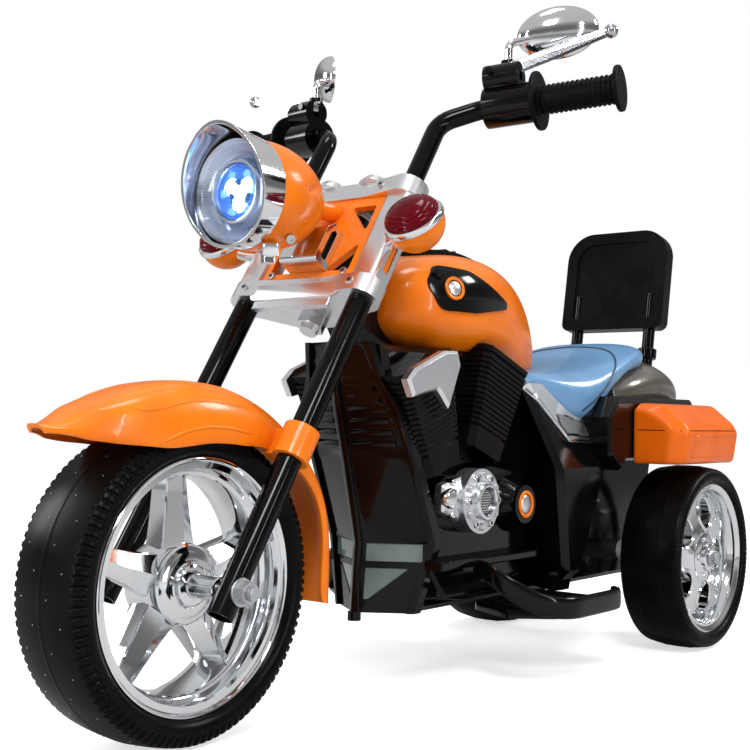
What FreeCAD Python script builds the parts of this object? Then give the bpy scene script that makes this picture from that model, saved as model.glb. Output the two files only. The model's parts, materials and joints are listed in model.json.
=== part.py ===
"""Battery-driven children's chopper trike: one steered front wheel and two rear wheels.

Frame: +X is the rider's left, +Y points to the rear, +Z is up, z = 0 is the floor.
Sizes are millimetres and degrees. While modelling, y = 0 is the rear axle.
"""
import FreeCAD, Part
import math
import os

V = FreeCAD.Vector

# Clearances
seat_gap = 0.25
running_gap = 0.05
turn_gap = 0.4

# Wheels and axles
wheel_base = 652.0
front_tyre_r = 120.0
front_tyre_half_w = 37.0
front_rim_r = 96.0
rear_tyre_r = 100.0
rear_tyre_half_w = 34.0
rear_rim_r = 81.0
rear_track = 250.0
rim_inset = 5.5
rim_lip = 2.0
tyre_depth = 8.0
axle_r = 5.0
nut_af = 15.0
nut_h = 8.0
washer_r = 10.5
washer_h = 2.0
front_hub_r = 31.0
spoke_count = 5

# Fork and steering head, measured along the raked fork from the front axle
rake = 32.6
fork_half_gap = 64.5
fork_tube_r = 10.2
fork_wall = 1.6
fork_tail = 21.0
stem_offset = 20.0
stem_r = 8.0
yoke_swing_r = 29.0
head_tube_wall = 6.0
head_bush_wall = 2.0
lower_yoke_at = 266.0
yoke_h = 17.0
upper_yoke_at = 374.0
yoke_boss_r = 16.5
sleeve_w = 27.0
sleeve_d = 24.0
horn_h = 42.0
bracket_ahead = 9.0
bracket_t = 6.0

# Front mudguard, given by its reach round the front axle
fender_wall = 3.0
fender_half_w = 44.0
fender_crown_r = 153.0
fender_reach = 129.0
fender_tip_turn = 47.0

# Headlight and turn signals
lamp_r = 46.0
lamp_depth = 90.0
lamp_ahead = 54.0
lamp_up = 308.0
bezel_depth = 17.0
bezel_wall = 3.0
visor_reach = 19.0
visor_lift = 6.0
lens_thick = 3.0
signal_r = 26.0
signal_half_gap = 108.0
signal_at = 327.0
signal_ahead = 21.0
signal_tilt = 14.0

# Handlebars and controls
bar_r = 8.6
bar_socket_depth = 12.0
bar_rise = 92.0
bar_spread = 29.0
bar_pullback = 24.0
bar_lift = 13.0
grip_sweep = 13.0
grip_rise = 3.2
grip_r = 12.2
grip_len = 76.0
grip_inner_flange_r = 26.0
grip_outer_flange_r = 20.0
flange_t = 4.0
pod_start = 6.0
pod_len = 46.0
crest_len = 32.0
crest_up = 24.0
crest_r = 13.0
pod_r = 18.0
lever_len = 105.0
lever_rise = 11.0
lever_t = 6.8
lever_pin_r = 2.0
mirror_half_w = 38.5
mirror_half_h = 24.0
mirror_depth = 17.0
mirror_stem_r = 3.4
mirror_sweep = 42.0
mirror_cant = 14.0

# Body shell
body_half_w = 44.0
body_wall = 3.0
body_crown = 5.0
body_floor_z = 72.0
body_tail_y = 80.0
axle_bush_wall = 2.5
boss_r = 5.0
boss_hole_r = 1.6
panel_wall = 6.0
panel_proud = 4.0
panel_top = 314.0
panel_foot = 72.0
trim_rise = 1.8

# Engine dress
fin_count = 14
fin_t = 3.4
fin_pitch = 5.0
fin_start = 41.0
fin_depth = 2.0
cylinder_foot = 18.0
cylinder_h = 118.0
cylinder_bevel = 6.0
front_foot_span = (-45.0, 8.0)
front_top_span = (-57.0, 28.0)
rear_foot_span = (-44.0, 12.0)
rear_top_span = (-50.0, 30.0)
vee_half_angle = 20.0
front_vee_y = -358.0
rear_vee_y = -308.0
vee_z = 192.0
cylinder_reach = 22.0
case_reach = 14.0
sill_reach = 30.0
flange_r = 30.0
flange_reach = 18.0
collar_r = 17.0
bolt_circle_r = 23.5
clutch_r = 27.5
clutch_reach = 17.0

# Backrest
back_half_w = 67.0
back_h = 123.0
back_t = 17.0
back_lean = 10.0
back_foot_y = 62.0
back_foot_z = 358.0
post_r = 7.0
post_half_gap = 48.0
post_socket = 45.0

# Saddlebags and footboards
bag_inner_x = 104.0
bag_outer_x = 163.0
bag_front_y = -92.0
bag_rear_y = 66.0
bag_foot_z = 203.0
bag_top_z = 268.0
board_outer_x = 150.0
board_front_y = -345.0
board_rear_y = -188.0
board_z = 66.0
board_t = 8.0
board_rim_h = 20.0
board_rim_t = 7.0
board_horn_h = 43.0
board_sweep = 42.0
pedal_w = 44.0
pedal_len = 84.0
pedal_t = 7.0
pedal_pin_r = 3.0

# Console switches and sealed electrical pieces
console_rise = 5.0
rocker_w = 13.0
rocker_len = 18.0
rocker_pin_r = 2.2
battery_w = 66.0
battery_len = 100.0
battery_h = 66.0
motor_r = 17.0
motor_len = 38.0
socket_bore_r = 2.75
socket_reach = 11.0

front_y = -wheel_base
half_track = rear_track / 2
origin_shift = (wheel_base + fender_reach - rear_tyre_r) / 2
rake_rad = math.radians(rake)


# Geometry helpers

def rounded_wire(points, radii):
    """Closed flat loop through the points, with an arc of the given radius at each corner."""
    count = len(points)
    if not isinstance(radii, (list, tuple)):
        radii = [radii] * count
    starts, mids, ends = [], [], []
    for i, corner in enumerate(points):
        before = (points[i - 1] - corner).normalize()
        after = (points[(i + 1) % count] - corner).normalize()
        if radii[i] <= 0:
            starts.append(corner)
            mids.append(None)
            ends.append(corner)
            continue
        half = before.getAngle(after) / 2
        bisector = (before + after).normalize()
        reach = radii[i] / math.tan(half)
        starts.append(corner + before * reach)
        mids.append(corner + bisector * (radii[i] / math.sin(half) - radii[i]))
        ends.append(corner + after * reach)
    edges = []
    for i in range(count):
        if mids[i] is not None:
            edges.append(Part.Arc(starts[i], mids[i], ends[i]).toShape())
        following = starts[(i + 1) % count]
        if ends[i].distanceToPoint(following) > 1e-6:
            edges.append(Part.LineSegment(ends[i], following).toShape())
    return Part.Wire(edges)


def prism(points, radii, direction):
    """Solid made by pushing a rounded flat loop along a vector."""
    return Part.Face(rounded_wire(points, radii)).extrude(direction)


def prism_x(outline, radii, x_from, x_to):
    """Side outline of (y, z) pairs pushed from one x to another."""
    points = [V(x_from, y, z) for y, z in outline]
    return prism(points, radii, V(x_to - x_from, 0, 0))


def prism_z(outline, radii, z_from, z_to):
    """Plan outline of (x, y) pairs pushed from one z to another."""
    points = [V(x, y, z_from) for x, y in outline]
    return prism(points, radii, V(0, 0, z_to - z_from))


def inset(outline, distance):
    """Flat outline moved inwards by a distance, or outwards when it is negative."""
    count = len(outline)
    area = 0.0
    for i, (u, v) in enumerate(outline):
        u_next, v_next = outline[(i + 1) % count]
        area += u * v_next - u_next * v
    side = 1.0 if area > 0 else -1.0
    moved = []
    for i, (u, v) in enumerate(outline):
        normals = []
        for (a, b) in ((outline[i - 1], (u, v)), ((u, v), outline[(i + 1) % count])):
            du, dv = b[0] - a[0], b[1] - a[1]
            length = math.hypot(du, dv)
            normals.append((-dv / length * side, du / length * side))
        (n0u, n0v), (n1u, n1v) = normals
        scale = distance / (1 + n0u * n1u + n0v * n1v)
        moved.append((u + (n0u + n1u) * scale, v + (n0v + n1v) * scale))
    return moved


def crowned_x(outline, radii, x_root, x_crown, crown):
    """Side outline pushed outwards in x whose last few millimetres draw in by the crown."""
    step = crown if x_crown > x_root else -crown
    body = prism_x(outline, radii, x_root, x_crown - step)
    loops = []
    for x, amount in ((x_crown - step, 0.0), (x_crown, crown)):
        points = [V(x, y, z) for y, z in inset(outline, amount)]
        loops.append(rounded_wire(points, radii))
    return body.fuse(Part.makeLoft(loops, True, True)).removeSplitter()


def rod(start, end, radius):
    """Round bar between two points."""
    line = end - start
    return Part.makeCylinder(radius, line.Length, start, line)


def ring(start, end, outer_r, inner_r):
    """Round tube between two points."""
    line = end - start
    reach = line * (1.0 / line.Length)
    core = rod(start - reach, end + reach, inner_r)
    return rod(start, end, outer_r).cut(core)


def bent_rod(points, bends, radius):
    """Round bar along straight runs joined by tangent arcs."""
    edges = []
    last = points[0]
    for i in range(1, len(points) - 1):
        corner = points[i]
        before = (points[i - 1] - corner).normalize()
        after = (points[i + 1] - corner).normalize()
        half = before.getAngle(after) / 2
        reach = bends[i - 1] / math.tan(half)
        bisector = (before + after).normalize()
        middle = corner + bisector * (bends[i - 1] / math.sin(half) - bends[i - 1])
        edges.append(Part.LineSegment(last, corner + before * reach).toShape())
        edges.append(Part.Arc(corner + before * reach, middle, corner + after * reach).toShape())
        last = corner + after * reach
    edges.append(Part.LineSegment(last, points[-1]).toShape())
    path = Part.Wire(edges)
    circle = Part.Wire(Part.Circle(points[0], points[1] - points[0], radius).toShape())
    return path.makePipeShell([circle], True, False)


def hex_prism(start, direction, across_flats, height):
    """Hexagonal bar with its axis through the start point."""
    radius = across_flats / math.sqrt(3)
    points = []
    for i in range(6):
        angle = math.radians(60 * i)
        points.append(V(radius * math.cos(angle), radius * math.sin(angle), 0))
    solid = Part.Face(Part.makePolygon(points + points[:1])).extrude(V(0, 0, height))
    solid.Placement = FreeCAD.Placement(start, FreeCAD.Rotation(V(0, 0, 1), direction))
    return solid


def revolved_x(outline):
    """Outline of (x, radius) pairs turned round the X axis."""
    points = [V(x, 0, r) for x, r in outline]
    face = Part.Face(Part.makePolygon(points + points[:1]))
    return face.revolve(V(0, 0, 0), V(1, 0, 0), 360)


def oval_loop(y, half_w, low, high, squareness):
    """Smooth closed cross-section between two heights, across the X direction."""
    count = 20
    power = 2.0 / squareness
    points = []
    for i in range(count):
        angle = 2 * math.pi * i / count
        c, s = math.cos(angle), math.sin(angle)
        x = half_w * math.copysign(abs(c) ** power, c)
        z = (low + high) / 2 + (high - low) / 2 * math.copysign(abs(s) ** power, s)
        points.append(V(x, y, z))
    curve = Part.BSplineCurve()
    curve.interpolate(Points=points, PeriodicFlag=True)
    return Part.Wire(curve.toShape())


def hull_loft(stations, squareness, growth):
    """Closed form through (y, half width, low, high) stations, grown all round by a distance."""
    loops = []
    last = len(stations) - 1
    for i, (y, half_w, low, high) in enumerate(stations):
        end_shift = -growth if i == 0 else growth if i == last else 0.0
        loops.append(oval_loop(y + end_shift, half_w + growth, low - growth, high + growth, squareness))
    return Part.makeLoft(loops, True, False)


def mirrored(shape):
    """The same piece on the rider's right."""
    return shape.mirror(V(0, 0, 0), V(1, 0, 0))


def both_sides(shape):
    """Left and right copies, as separate solids."""
    return [shape, mirrored(shape)]


def fork_point(x, back, along):
    """Point in the fork's own directions: across, backwards from the tubes, and up the tubes."""
    y = front_y + along * math.sin(rake_rad) + back * math.cos(rake_rad)
    z = front_tyre_r + along * math.cos(rake_rad) - back * math.sin(rake_rad)
    return V(x, y, z)


def on_fork(shape):
    """Piece drawn upright round the front axle, laid back to the fork's rake."""
    placed = shape.copy()
    placed.rotate(V(0, 0, 0), V(1, 0, 0), -rake)
    placed.translate(V(0, front_y, front_tyre_r))
    return placed


def save(name, shapes):
    """Write one node, moved so that the part's middle lies over the origin."""
    solids = []
    for shape in shapes if isinstance(shapes, list) else [shapes]:
        solids.extend(shape.Solids)
    node = solids[0] if len(solids) == 1 else Part.makeCompound(solids)
    node = node.copy()
    node.translate(V(0, origin_shift, 0))
    node.exportStep(os.path.join("parts", name + ".step"))
    if not node.isValid():
        print("not valid:", name)


# Wheels

def tyre(radius, half_w, rim_r):
    """Tyre with a slightly crowned tread, square shoulders and rounded flanks."""
    bead_x = half_w - rim_inset - rim_lip - seat_gap
    bed_r = rim_r - tyre_depth
    shoulder_x = half_w - 5.0
    shoulder_r = radius - 3.0
    flank_r = (rim_r + shoulder_r) / 2
    edges = [
        Part.makeLine(V(-bead_x, 0, bed_r), V(bead_x, 0, bed_r)),
        Part.makeLine(V(bead_x, 0, bed_r), V(bead_x, 0, rim_r)),
        Part.Arc(V(bead_x, 0, rim_r), V(half_w, 0, flank_r), V(shoulder_x, 0, shoulder_r)).toShape(),
        Part.Arc(V(shoulder_x, 0, shoulder_r), V(0, 0, radius), V(-shoulder_x, 0, shoulder_r)).toShape(),
        Part.Arc(V(-shoulder_x, 0, shoulder_r), V(-half_w, 0, flank_r), V(-bead_x, 0, rim_r)).toShape(),
        Part.makeLine(V(-bead_x, 0, rim_r), V(-bead_x, 0, bed_r)),
    ]
    return Part.Face(Part.Wire(edges)).revolve(V(0, 0, 0), V(1, 0, 0), 360)


def rim_barrel(rim_r, half_w, lip):
    """Stepped hoop that carries the tyre, open through the middle."""
    seat_r = rim_r - tyre_depth - seat_gap
    outline = [
        (-half_w, rim_r), (-half_w + lip, rim_r), (-half_w + lip, seat_r), (half_w - lip, seat_r),
        (half_w - lip, rim_r), (half_w, rim_r), (half_w, rim_r - 4.0), (half_w - 5.0, rim_r - 9.0),
        (half_w - 9.0, seat_r - 5.0), (9.0 - half_w, seat_r - 5.0), (5.0 - half_w, rim_r - 9.0),
        (-half_w, rim_r - 4.0),
    ]
    return revolved_x(outline)


def spoke(root_r, tip_r, root_w, tip_w, face_x, back_x):
    """Tapering spoke with a ridge along its outer face."""
    loops = []
    for r, w, inset_x in ((root_r, root_w, 0.0), (tip_r, tip_w, 4.0)):
        points = [
            V(back_x, -w / 2, r), V(face_x - 6.0 - inset_x, -w / 2, r), V(face_x - inset_x, 0, r),
            V(face_x - 6.0 - inset_x, w / 2, r), V(back_x, w / 2, r),
        ]
        loops.append(Part.makePolygon(points + points[:1]))
    return Part.makeLoft(loops, True, True)


def front_rim():
    """Deep-dish rim with five star spokes and a long stepped hub."""
    half_w = front_tyre_half_w - rim_inset
    rim = rim_barrel(front_rim_r, half_w, rim_lip)
    hub_reach = fork_half_gap - fork_tube_r - turn_gap
    hub_outline = [
        (-hub_reach, axle_r + running_gap), (-hub_reach, 9.0), (-26.0, 9.0), (-26.0, 16.0), (-20.0, 18.0),
        (-18.0, front_hub_r), (18.0, front_hub_r), (20.0, 18.0), (26.0, 16.0), (26.0, 9.0),
        (hub_reach, 9.0), (hub_reach, axle_r + running_gap),
    ]
    rim = rim.fuse(revolved_x(hub_outline))
    tip_r = front_rim_r - tyre_depth - 4.0
    for i in range(spoke_count):
        arm = spoke(front_hub_r - 6.0, tip_r, 34.0, 15.0, 15.0, -15.0)
        arm.rotate(V(0, 0, 0), V(1, 0, 0), 360.0 / spoke_count * i)
        rim = rim.fuse(arm)
    rim = rim.removeSplitter()
    rim.translate(V(0, front_y, front_tyre_r))
    return rim


def rear_rim():
    """Rim for the rider's left with five broad petals and a round cap, centred on the axle."""
    half_w = rear_tyre_half_w - rim_inset
    rim = rim_barrel(rear_rim_r, half_w, rim_lip)
    disc_r = rear_rim_r - tyre_depth - 4.0
    disc = [
        (4.0, axle_r + running_gap), (4.0, disc_r), (11.0, disc_r), (17.0, 30.0), (23.0, 27.0), (24.0, 15.0),
        (29.0, 13.0), (29.0, axle_r + running_gap),
    ]
    web = revolved_x(disc)
    for i in range(spoke_count):
        hole = Part.makeCone(15.5, 18.5, 40.0, V(-5.0, 0, 49.0), V(1, 0, 0))
        hole.rotate(V(0, 0, 0), V(1, 0, 0), 360.0 / spoke_count * (i + 0.5))
        web = web.cut(hole)
    hub = revolved_x([
        (-half_w - 1.5, axle_r + running_gap), (-half_w - 1.5, 13.0), (4.5, 16.0),
        (4.5, axle_r + running_gap),
    ])
    return rim.fuse(web).fuse(hub).removeSplitter()


# Fork, yokes and steering head

def fork_tubes():
    """Two straight legs, open at the bottom and cross-drilled for the axle."""
    bottom = V(fork_half_gap, 0, -fork_tail)
    top = V(fork_half_gap, 0, upper_yoke_at + yoke_h - bar_socket_depth - seat_gap)
    leg = ring(bottom, top, fork_tube_r, fork_tube_r - fork_wall)
    cross = rod(V(0, 0, 0), V(fork_half_gap * 2, 0, 0), axle_r + running_gap)
    return both_sides(on_fork(leg.cut(cross)))


def yoke_plate(front_drop):
    """Bridge plate round both legs and the steering stem, with a waisted front edge."""
    outline = [
        (-fork_half_gap, -yoke_boss_r), (-24.0, -11.0 - front_drop), (24.0, -11.0 - front_drop),
        (fork_half_gap, -yoke_boss_r), (fork_half_gap, yoke_boss_r), (24.0, stem_offset + 15.0),
        (-24.0, stem_offset + 15.0), (-fork_half_gap, yoke_boss_r),
    ]
    plate = prism_z(outline, [0, 14, 14, 0, 0, 12, 12, 0], 0.0, yoke_h)
    for x in (-fork_half_gap, fork_half_gap):
        plate = plate.fuse(Part.makeCylinder(yoke_boss_r, yoke_h, V(x, 0, 0)))
    return plate.removeSplitter()


def lower_yoke():
    """Lower bridge with holes for the legs and the stem, and a thin lip along its front."""
    plate = yoke_plate(2.0)
    lip = prism_z([(-46.0, -13.0), (46.0, -13.0), (40.0, -8.0), (-40.0, -8.0)], 1.5, -13.0, 1.0)
    plate = plate.fuse(lip).removeSplitter()
    for x in (-fork_half_gap, fork_half_gap):
        plate = plate.cut(Part.makeCylinder(fork_tube_r + running_gap, yoke_h * 3, V(x, 0, -yoke_h)))
    plate = plate.cut(Part.makeCylinder(stem_r + running_gap, yoke_h * 3, V(0, stem_offset, -yoke_h)))
    plate.translate(V(0, 0, lower_yoke_at))
    return on_fork(plate)


def upper_yoke():
    """Upper bridge with raised sockets for the bars and a round boss over the stem."""
    plate = yoke_plate(0.0)
    for x in (-fork_half_gap, fork_half_gap):
        plate = plate.cut(Part.makeCylinder(fork_tube_r + running_gap, yoke_h - bar_socket_depth, V(x, 0, 0)))
        socket = Part.makeCylinder(bar_r + running_gap, yoke_h, V(x, 0, yoke_h - bar_socket_depth))
        plate = plate.cut(socket)
    for x in (-25.0, 25.0):
        bump = Part.makeCone(15.0, 11.0, 8.0, V(x, -2.0, yoke_h - 0.5))
        plate = plate.fuse(bump)
    plate = plate.cut(Part.makeCylinder(stem_r + running_gap, yoke_h * 3, V(0, stem_offset, -yoke_h)))
    plate = plate.removeSplitter()
    plate.translate(V(0, 0, upper_yoke_at))
    return on_fork(plate)


def steering_stem():
    """Stem bolt with a round head on the upper yoke."""
    bottom = lower_yoke_at - nut_h - 8.0
    head_at = upper_yoke_at + yoke_h
    shank = rod(V(0, stem_offset, bottom), V(0, stem_offset, head_at), stem_r)
    head = Part.makeCone(stem_r + 8.0, stem_r + 6.0, 13.0, V(0, stem_offset, head_at))
    return on_fork(shank.fuse(head).removeSplitter())


def stem_nut():
    """Domed nut that closes the stem under the lower yoke."""
    top = V(0, stem_offset, lower_yoke_at)
    nut = hex_prism(top, V(0, 0, -1), 22.0, nut_h + 3.0)
    nut = nut.cut(rod(top + V(0, 0, 1), top - V(0, 0, nut_h + 8.0), stem_r + running_gap))
    return on_fork(nut)


def head_tube_r():
    """Outer radius of the fixed steering head."""
    return stem_r + running_gap + head_bush_wall + running_gap + head_tube_wall


def head_span():
    """Lower and upper ends of the fixed steering head along the fork."""
    return lower_yoke_at + yoke_h + turn_gap, upper_yoke_at - turn_gap


def head_bushes():
    """Two flanged bushes that carry the stem in the steering head."""
    low, high = head_span()
    bushes = []
    for start, step in ((low, 1.0), (high, -1.0)):
        flange_end = V(0, stem_offset, start + step * 3.0)
        flange = rod(V(0, stem_offset, start), flange_end, head_tube_r())
        sleeve_end = V(0, stem_offset, start + step * 25.0)
        sleeve = rod(flange_end, sleeve_end, stem_r + running_gap + head_bush_wall)
        bore = rod(V(0, stem_offset, start - step), sleeve_end + V(0, 0, step), stem_r + running_gap)
        bushes.append(on_fork(flange.fuse(sleeve).cut(bore).removeSplitter()))
    return bushes


def steering_head(body_top, tank_clear):
    """Fixed head tube with the neck that ties it down to the body."""
    low, high = head_span()
    bore_r = stem_r + head_bush_wall + 2 * running_gap
    tube = on_fork(rod(V(0, stem_offset, low + 3.0), V(0, stem_offset, high - 3.0), head_tube_r()))
    bore = on_fork(rod(V(0, stem_offset, low), V(0, stem_offset, high), bore_r))
    root = fork_point(0, stem_offset + 4.0, low + 6.0)
    crest = fork_point(0, stem_offset + 4.0, (low + high) / 2 + 30.0)
    foot_front, foot_rear = body_top
    outline = [
        (root.y, root.z), (crest.y, crest.z), (foot_rear[0], foot_rear[1] + seat_gap),
        (foot_front[0], foot_front[1] + seat_gap),
    ]
    neck = prism_x(outline, 0, -13.0, 13.0)
    below = V(0, stem_offset, low - 40.0)
    flange_room = on_fork(rod(below, V(0, stem_offset, low + 3.0), head_tube_r() + turn_gap))
    yoke_room = on_fork(rod(below, V(0, stem_offset, low), yoke_swing_r))
    neck = neck.cut(flange_room).cut(yoke_room)
    return tube.fuse(neck).cut(bore).cut(tank_clear).removeSplitter()


def fork_sleeves():
    """Slotted covers over the legs between the two yokes."""
    low = lower_yoke_at + yoke_h
    high = upper_yoke_at
    outline = [
        (fork_half_gap - sleeve_w / 2, -sleeve_d / 2), (fork_half_gap + sleeve_w / 2, -sleeve_d / 2),
        (fork_half_gap + sleeve_w / 2, sleeve_d / 2), (fork_half_gap - sleeve_w / 2, sleeve_d / 2),
    ]
    cover = prism_z(outline, 6.0, low, high)
    bore = Part.makeCylinder(fork_tube_r + seat_gap, high - low + 2, V(fork_half_gap, 0, low - 1))
    cover = cover.cut(bore)
    span = high - low
    for start, stop in ((0.12, 0.42), (0.55, 0.85)):
        slot = Part.makeBox(sleeve_w, 7.0, span * (stop - start), V(fork_half_gap, -3.5, low + span * start))
        cover = cover.cut(slot)
    return both_sides(on_fork(cover))


def lamp_bracket():
    """Webbed plate between the leg covers with triangular openings."""
    low = lower_yoke_at + yoke_h
    high = upper_yoke_at
    half = fork_half_gap - sleeve_w / 2 - seat_gap
    outline = [(-half, low), (half, low), (half, high), (-half, high)]
    points = [V(x, -bracket_ahead, z) for x, z in outline]
    plate = prism(points, 0, V(0, bracket_t, 0))
    middle = (low + high) / 2
    for side in (-1, 1):
        for base, tip in ((low + 10.0, middle - 6.0), (high - 10.0, middle + 6.0)):
            outer = side * (half - 6.0)
            start_y = -2 * bracket_ahead
            corners = [V(outer, start_y, base), V(side * 17.0, start_y, base), V(outer, start_y, tip)]
            plate = plate.cut(prism(corners, 2.0, V(0, 2 * bracket_ahead, 0)))
    return on_fork(plate)


def horn_frame_and_core():
    """Bright five-sided frame with a dark core behind its side windows."""
    low = lower_yoke_at + yoke_h + 10.0
    high = low + horn_h
    back = -bracket_ahead - seat_gap
    outline = [(-28.0, low), (-28.0, high - 8.0), (-22.0, high), (back, high), (back, low)]
    half = 21.0
    frame = prism_x(outline, [4, 4, 4, 0, 0], -half, half)
    window = prism_x(inset(outline, 6.0), 2.0, -half - 1, half + 1)
    frame = frame.cut(window)
    core = prism_x(inset(outline, 6.0 + seat_gap), 2.0, 4.0 - half, half - 4.0)
    return on_fork(frame), on_fork(core)


# Headlight and turn signals

def lamp_centre():
    """Middle of the headlight's rim on the centre plane."""
    return V(0, front_y + lamp_ahead, front_tyre_r + lamp_up)


def lamp_revolve(outline):
    """Outline of (distance behind the rim, radius) pairs turned round the lamp's level axis."""
    centre = lamp_centre()
    points = [centre + V(0, back, r) for back, r in outline]
    face = Part.Face(Part.makePolygon(points + points[:1]))
    return face.revolve(centre, V(0, 1, 0), 360)


def lamp_bowl():
    """Bullet-shaped bowl, hollow, with a foot that bolts to the bracket."""
    centre = lamp_centre()
    profiles = []
    for wall in (0.0, bezel_wall):
        rim = lamp_r - 2.0 - wall
        tail = centre + V(0, bezel_depth + lamp_depth - wall, 0)
        front = centre + V(0, bezel_depth, rim)
        bulge = centre + V(0, bezel_depth + lamp_depth * 0.62, rim * 0.80 - wall)
        arc = Part.Arc(front, bulge, tail).toShape()
        axis_line = Part.makeLine(tail, centre + V(0, bezel_depth, 0))
        face_line = Part.makeLine(centre + V(0, bezel_depth, 0), front)
        face = Part.Face(Part.Wire([arc, axis_line, face_line]))
        profiles.append(face.revolve(centre, V(0, 1, 0), 360))
    bowl = profiles[0].cut(profiles[1])
    root = fork_point(0, -4.0, upper_yoke_at - 12.0)
    foot = rod(root, centre + V(0, bezel_depth + lamp_depth - 20.0, 0), 8.0)
    plate_room = on_fork(Part.makeBox(200.0, 100.0, 400.0, V(-100.0, -9.0 - seat_gap, 200.0)))
    foot = foot.cut(profiles[0]).cut(plate_room)
    return bowl.fuse(foot).removeSplitter()


def peaked_loop(centre, radius, lift, lead):
    """Flat rim outline: a circle drawn up at the top, on a plane that leans forward by the lead."""
    count = 24
    points = []
    for i in range(count):
        angle = 2 * math.pi * i / count
        z = radius * math.sin(angle) + lift * max(0.0, math.sin(angle)) ** 3
        lean = lead * (z + radius) / (2 * radius + lift)
        points.append(centre + V(radius * math.cos(angle), -lean, z))
    curve = Part.BSplineCurve()
    curve.interpolate(Points=points, PeriodicFlag=True)
    return Part.Wire(curve.toShape())


def bezel_form(radius, extra):
    """Bezel outside or inside: round at the back, peaked and leaning forward at the front."""
    centre = lamp_centre()
    rear = peaked_loop(centre + V(0, bezel_depth - seat_gap + extra, 0), radius, 0.0, 0.0)
    front = peaked_loop(centre - V(0, extra, 0), radius + 1.0, visor_lift, visor_reach)
    return Part.makeLoft([rear, front], True, True)


def lamp_bezel():
    """Bright rim ring whose top runs forward into a visor."""
    return bezel_form(lamp_r, 0.0).cut(bezel_form(lamp_r - bezel_wall, 1.0))


def lamp_inside():
    """Reflector bowl, lens disc and lamp unit, seated one behind the other."""
    seat = bezel_depth - 8.0
    inner_r = lamp_r - bezel_wall - seat_gap
    bowl_inner = lamp_r - 2.0 - bezel_wall - seat_gap
    reflector = lamp_revolve([
        (seat, inner_r), (seat, inner_r - 2.5), (seat + 26.0, 15.0), (seat + 26.0, 8.0), (seat + 29.0, 8.0),
        (seat + 29.0, 17.0), (bezel_depth + 2.0, bowl_inner - 2.0),
        (bezel_depth - seat_gap, bowl_inner - 1.0),
        (bezel_depth - seat_gap, inner_r),
    ])
    lens = lamp_revolve([
        (seat - seat_gap, 0.0), (seat - seat_gap, inner_r), (seat - lens_thick, inner_r),
        (seat - lens_thick - 3.0, inner_r * 0.6), (seat - lens_thick - 4.0, 0.0),
    ])
    bulb = lamp_revolve([
        (seat + 6.0, 0.0), (seat + 8.0, 9.0), (seat + 14.0, 13.0), (seat + 26.0 - seat_gap, 13.0),
        (seat + 26.0 - seat_gap, 7.5), (seat + 31.0, 7.5), (seat + 31.0, 0.0),
    ])
    return reflector, lens, bulb


def signal_pieces():
    """Bowl with its stalk, bright ring and domed lens of both turn signals."""
    centre = V(signal_half_gap, -signal_ahead, signal_at)
    bowl = Part.makeSphere(signal_r - 1.0, centre, V(0, 0, -1), 0, 90, 360)
    stalk_root = V(fork_half_gap + sleeve_w / 2 - 2.0, -sleeve_d / 2 + 8.0, signal_at - 4.0)
    stalk = rod(stalk_root, V(signal_half_gap - 6.0, -signal_ahead, signal_at - 10.0), 6.5)
    rim = Part.makeCylinder(signal_r, 6.0, centre)
    lens = Part.makeSphere(signal_r - 2.5, V(0, 0, 0), V(0, 0, 1), 0, 90, 360)
    flatten = FreeCAD.Matrix()
    flatten.scale(1.0, 1.0, 0.62)
    lens = lens.transformGeometry(flatten)
    lens.translate(centre + V(0, 0, 6.0))
    lean = 90.0 - signal_tilt
    for piece in (bowl, rim, lens):
        piece.rotate(centre, V(1, 0, 0), lean)
    sleeve_face = fork_half_gap + sleeve_w / 2 + seat_gap
    sleeve_room = Part.makeBox(60.0, 200.0, 200.0, V(sleeve_face - 60.0, -100.0, signal_at - 100.0))
    bowl = bowl.fuse(stalk.cut(rim)).cut(sleeve_room).removeSplitter()
    pieces = []
    for piece in (bowl, rim, lens):
        pieces.append(both_sides(on_fork(piece)))
    return pieces


# Front mudguard

def fender_loop(turn, crown_r, half_w, edge_r):
    """Arched section across the tyre at an angle round the front axle, 0 being straight up."""
    count = 8
    outer, inner = [], []
    for offset, chain in ((0.0, outer), (-fender_wall, inner)):
        for i in range(count + 1):
            angle = math.pi * (i / count - 0.5)
            s, c = math.sin(angle), math.cos(angle)
            x = (half_w + offset) * math.copysign(abs(s) ** 0.72, s)
            r = edge_r + (crown_r + offset - edge_r) * c ** 0.62
            chain.append(V(x, 0, r))
    curves = []
    for chain in (outer, inner):
        curve = Part.BSplineCurve()
        curve.interpolate(Points=chain)
        curves.append(curve.toShape())
    edges = [curves[0], Part.makeLine(outer[-1], inner[-1]), curves[1], Part.makeLine(inner[0], outer[0])]
    loop = Part.Wire(Part.__sortEdges__(edges))
    loop.rotate(V(0, 0, 0), V(1, 0, 0), -turn)
    return loop


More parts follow.
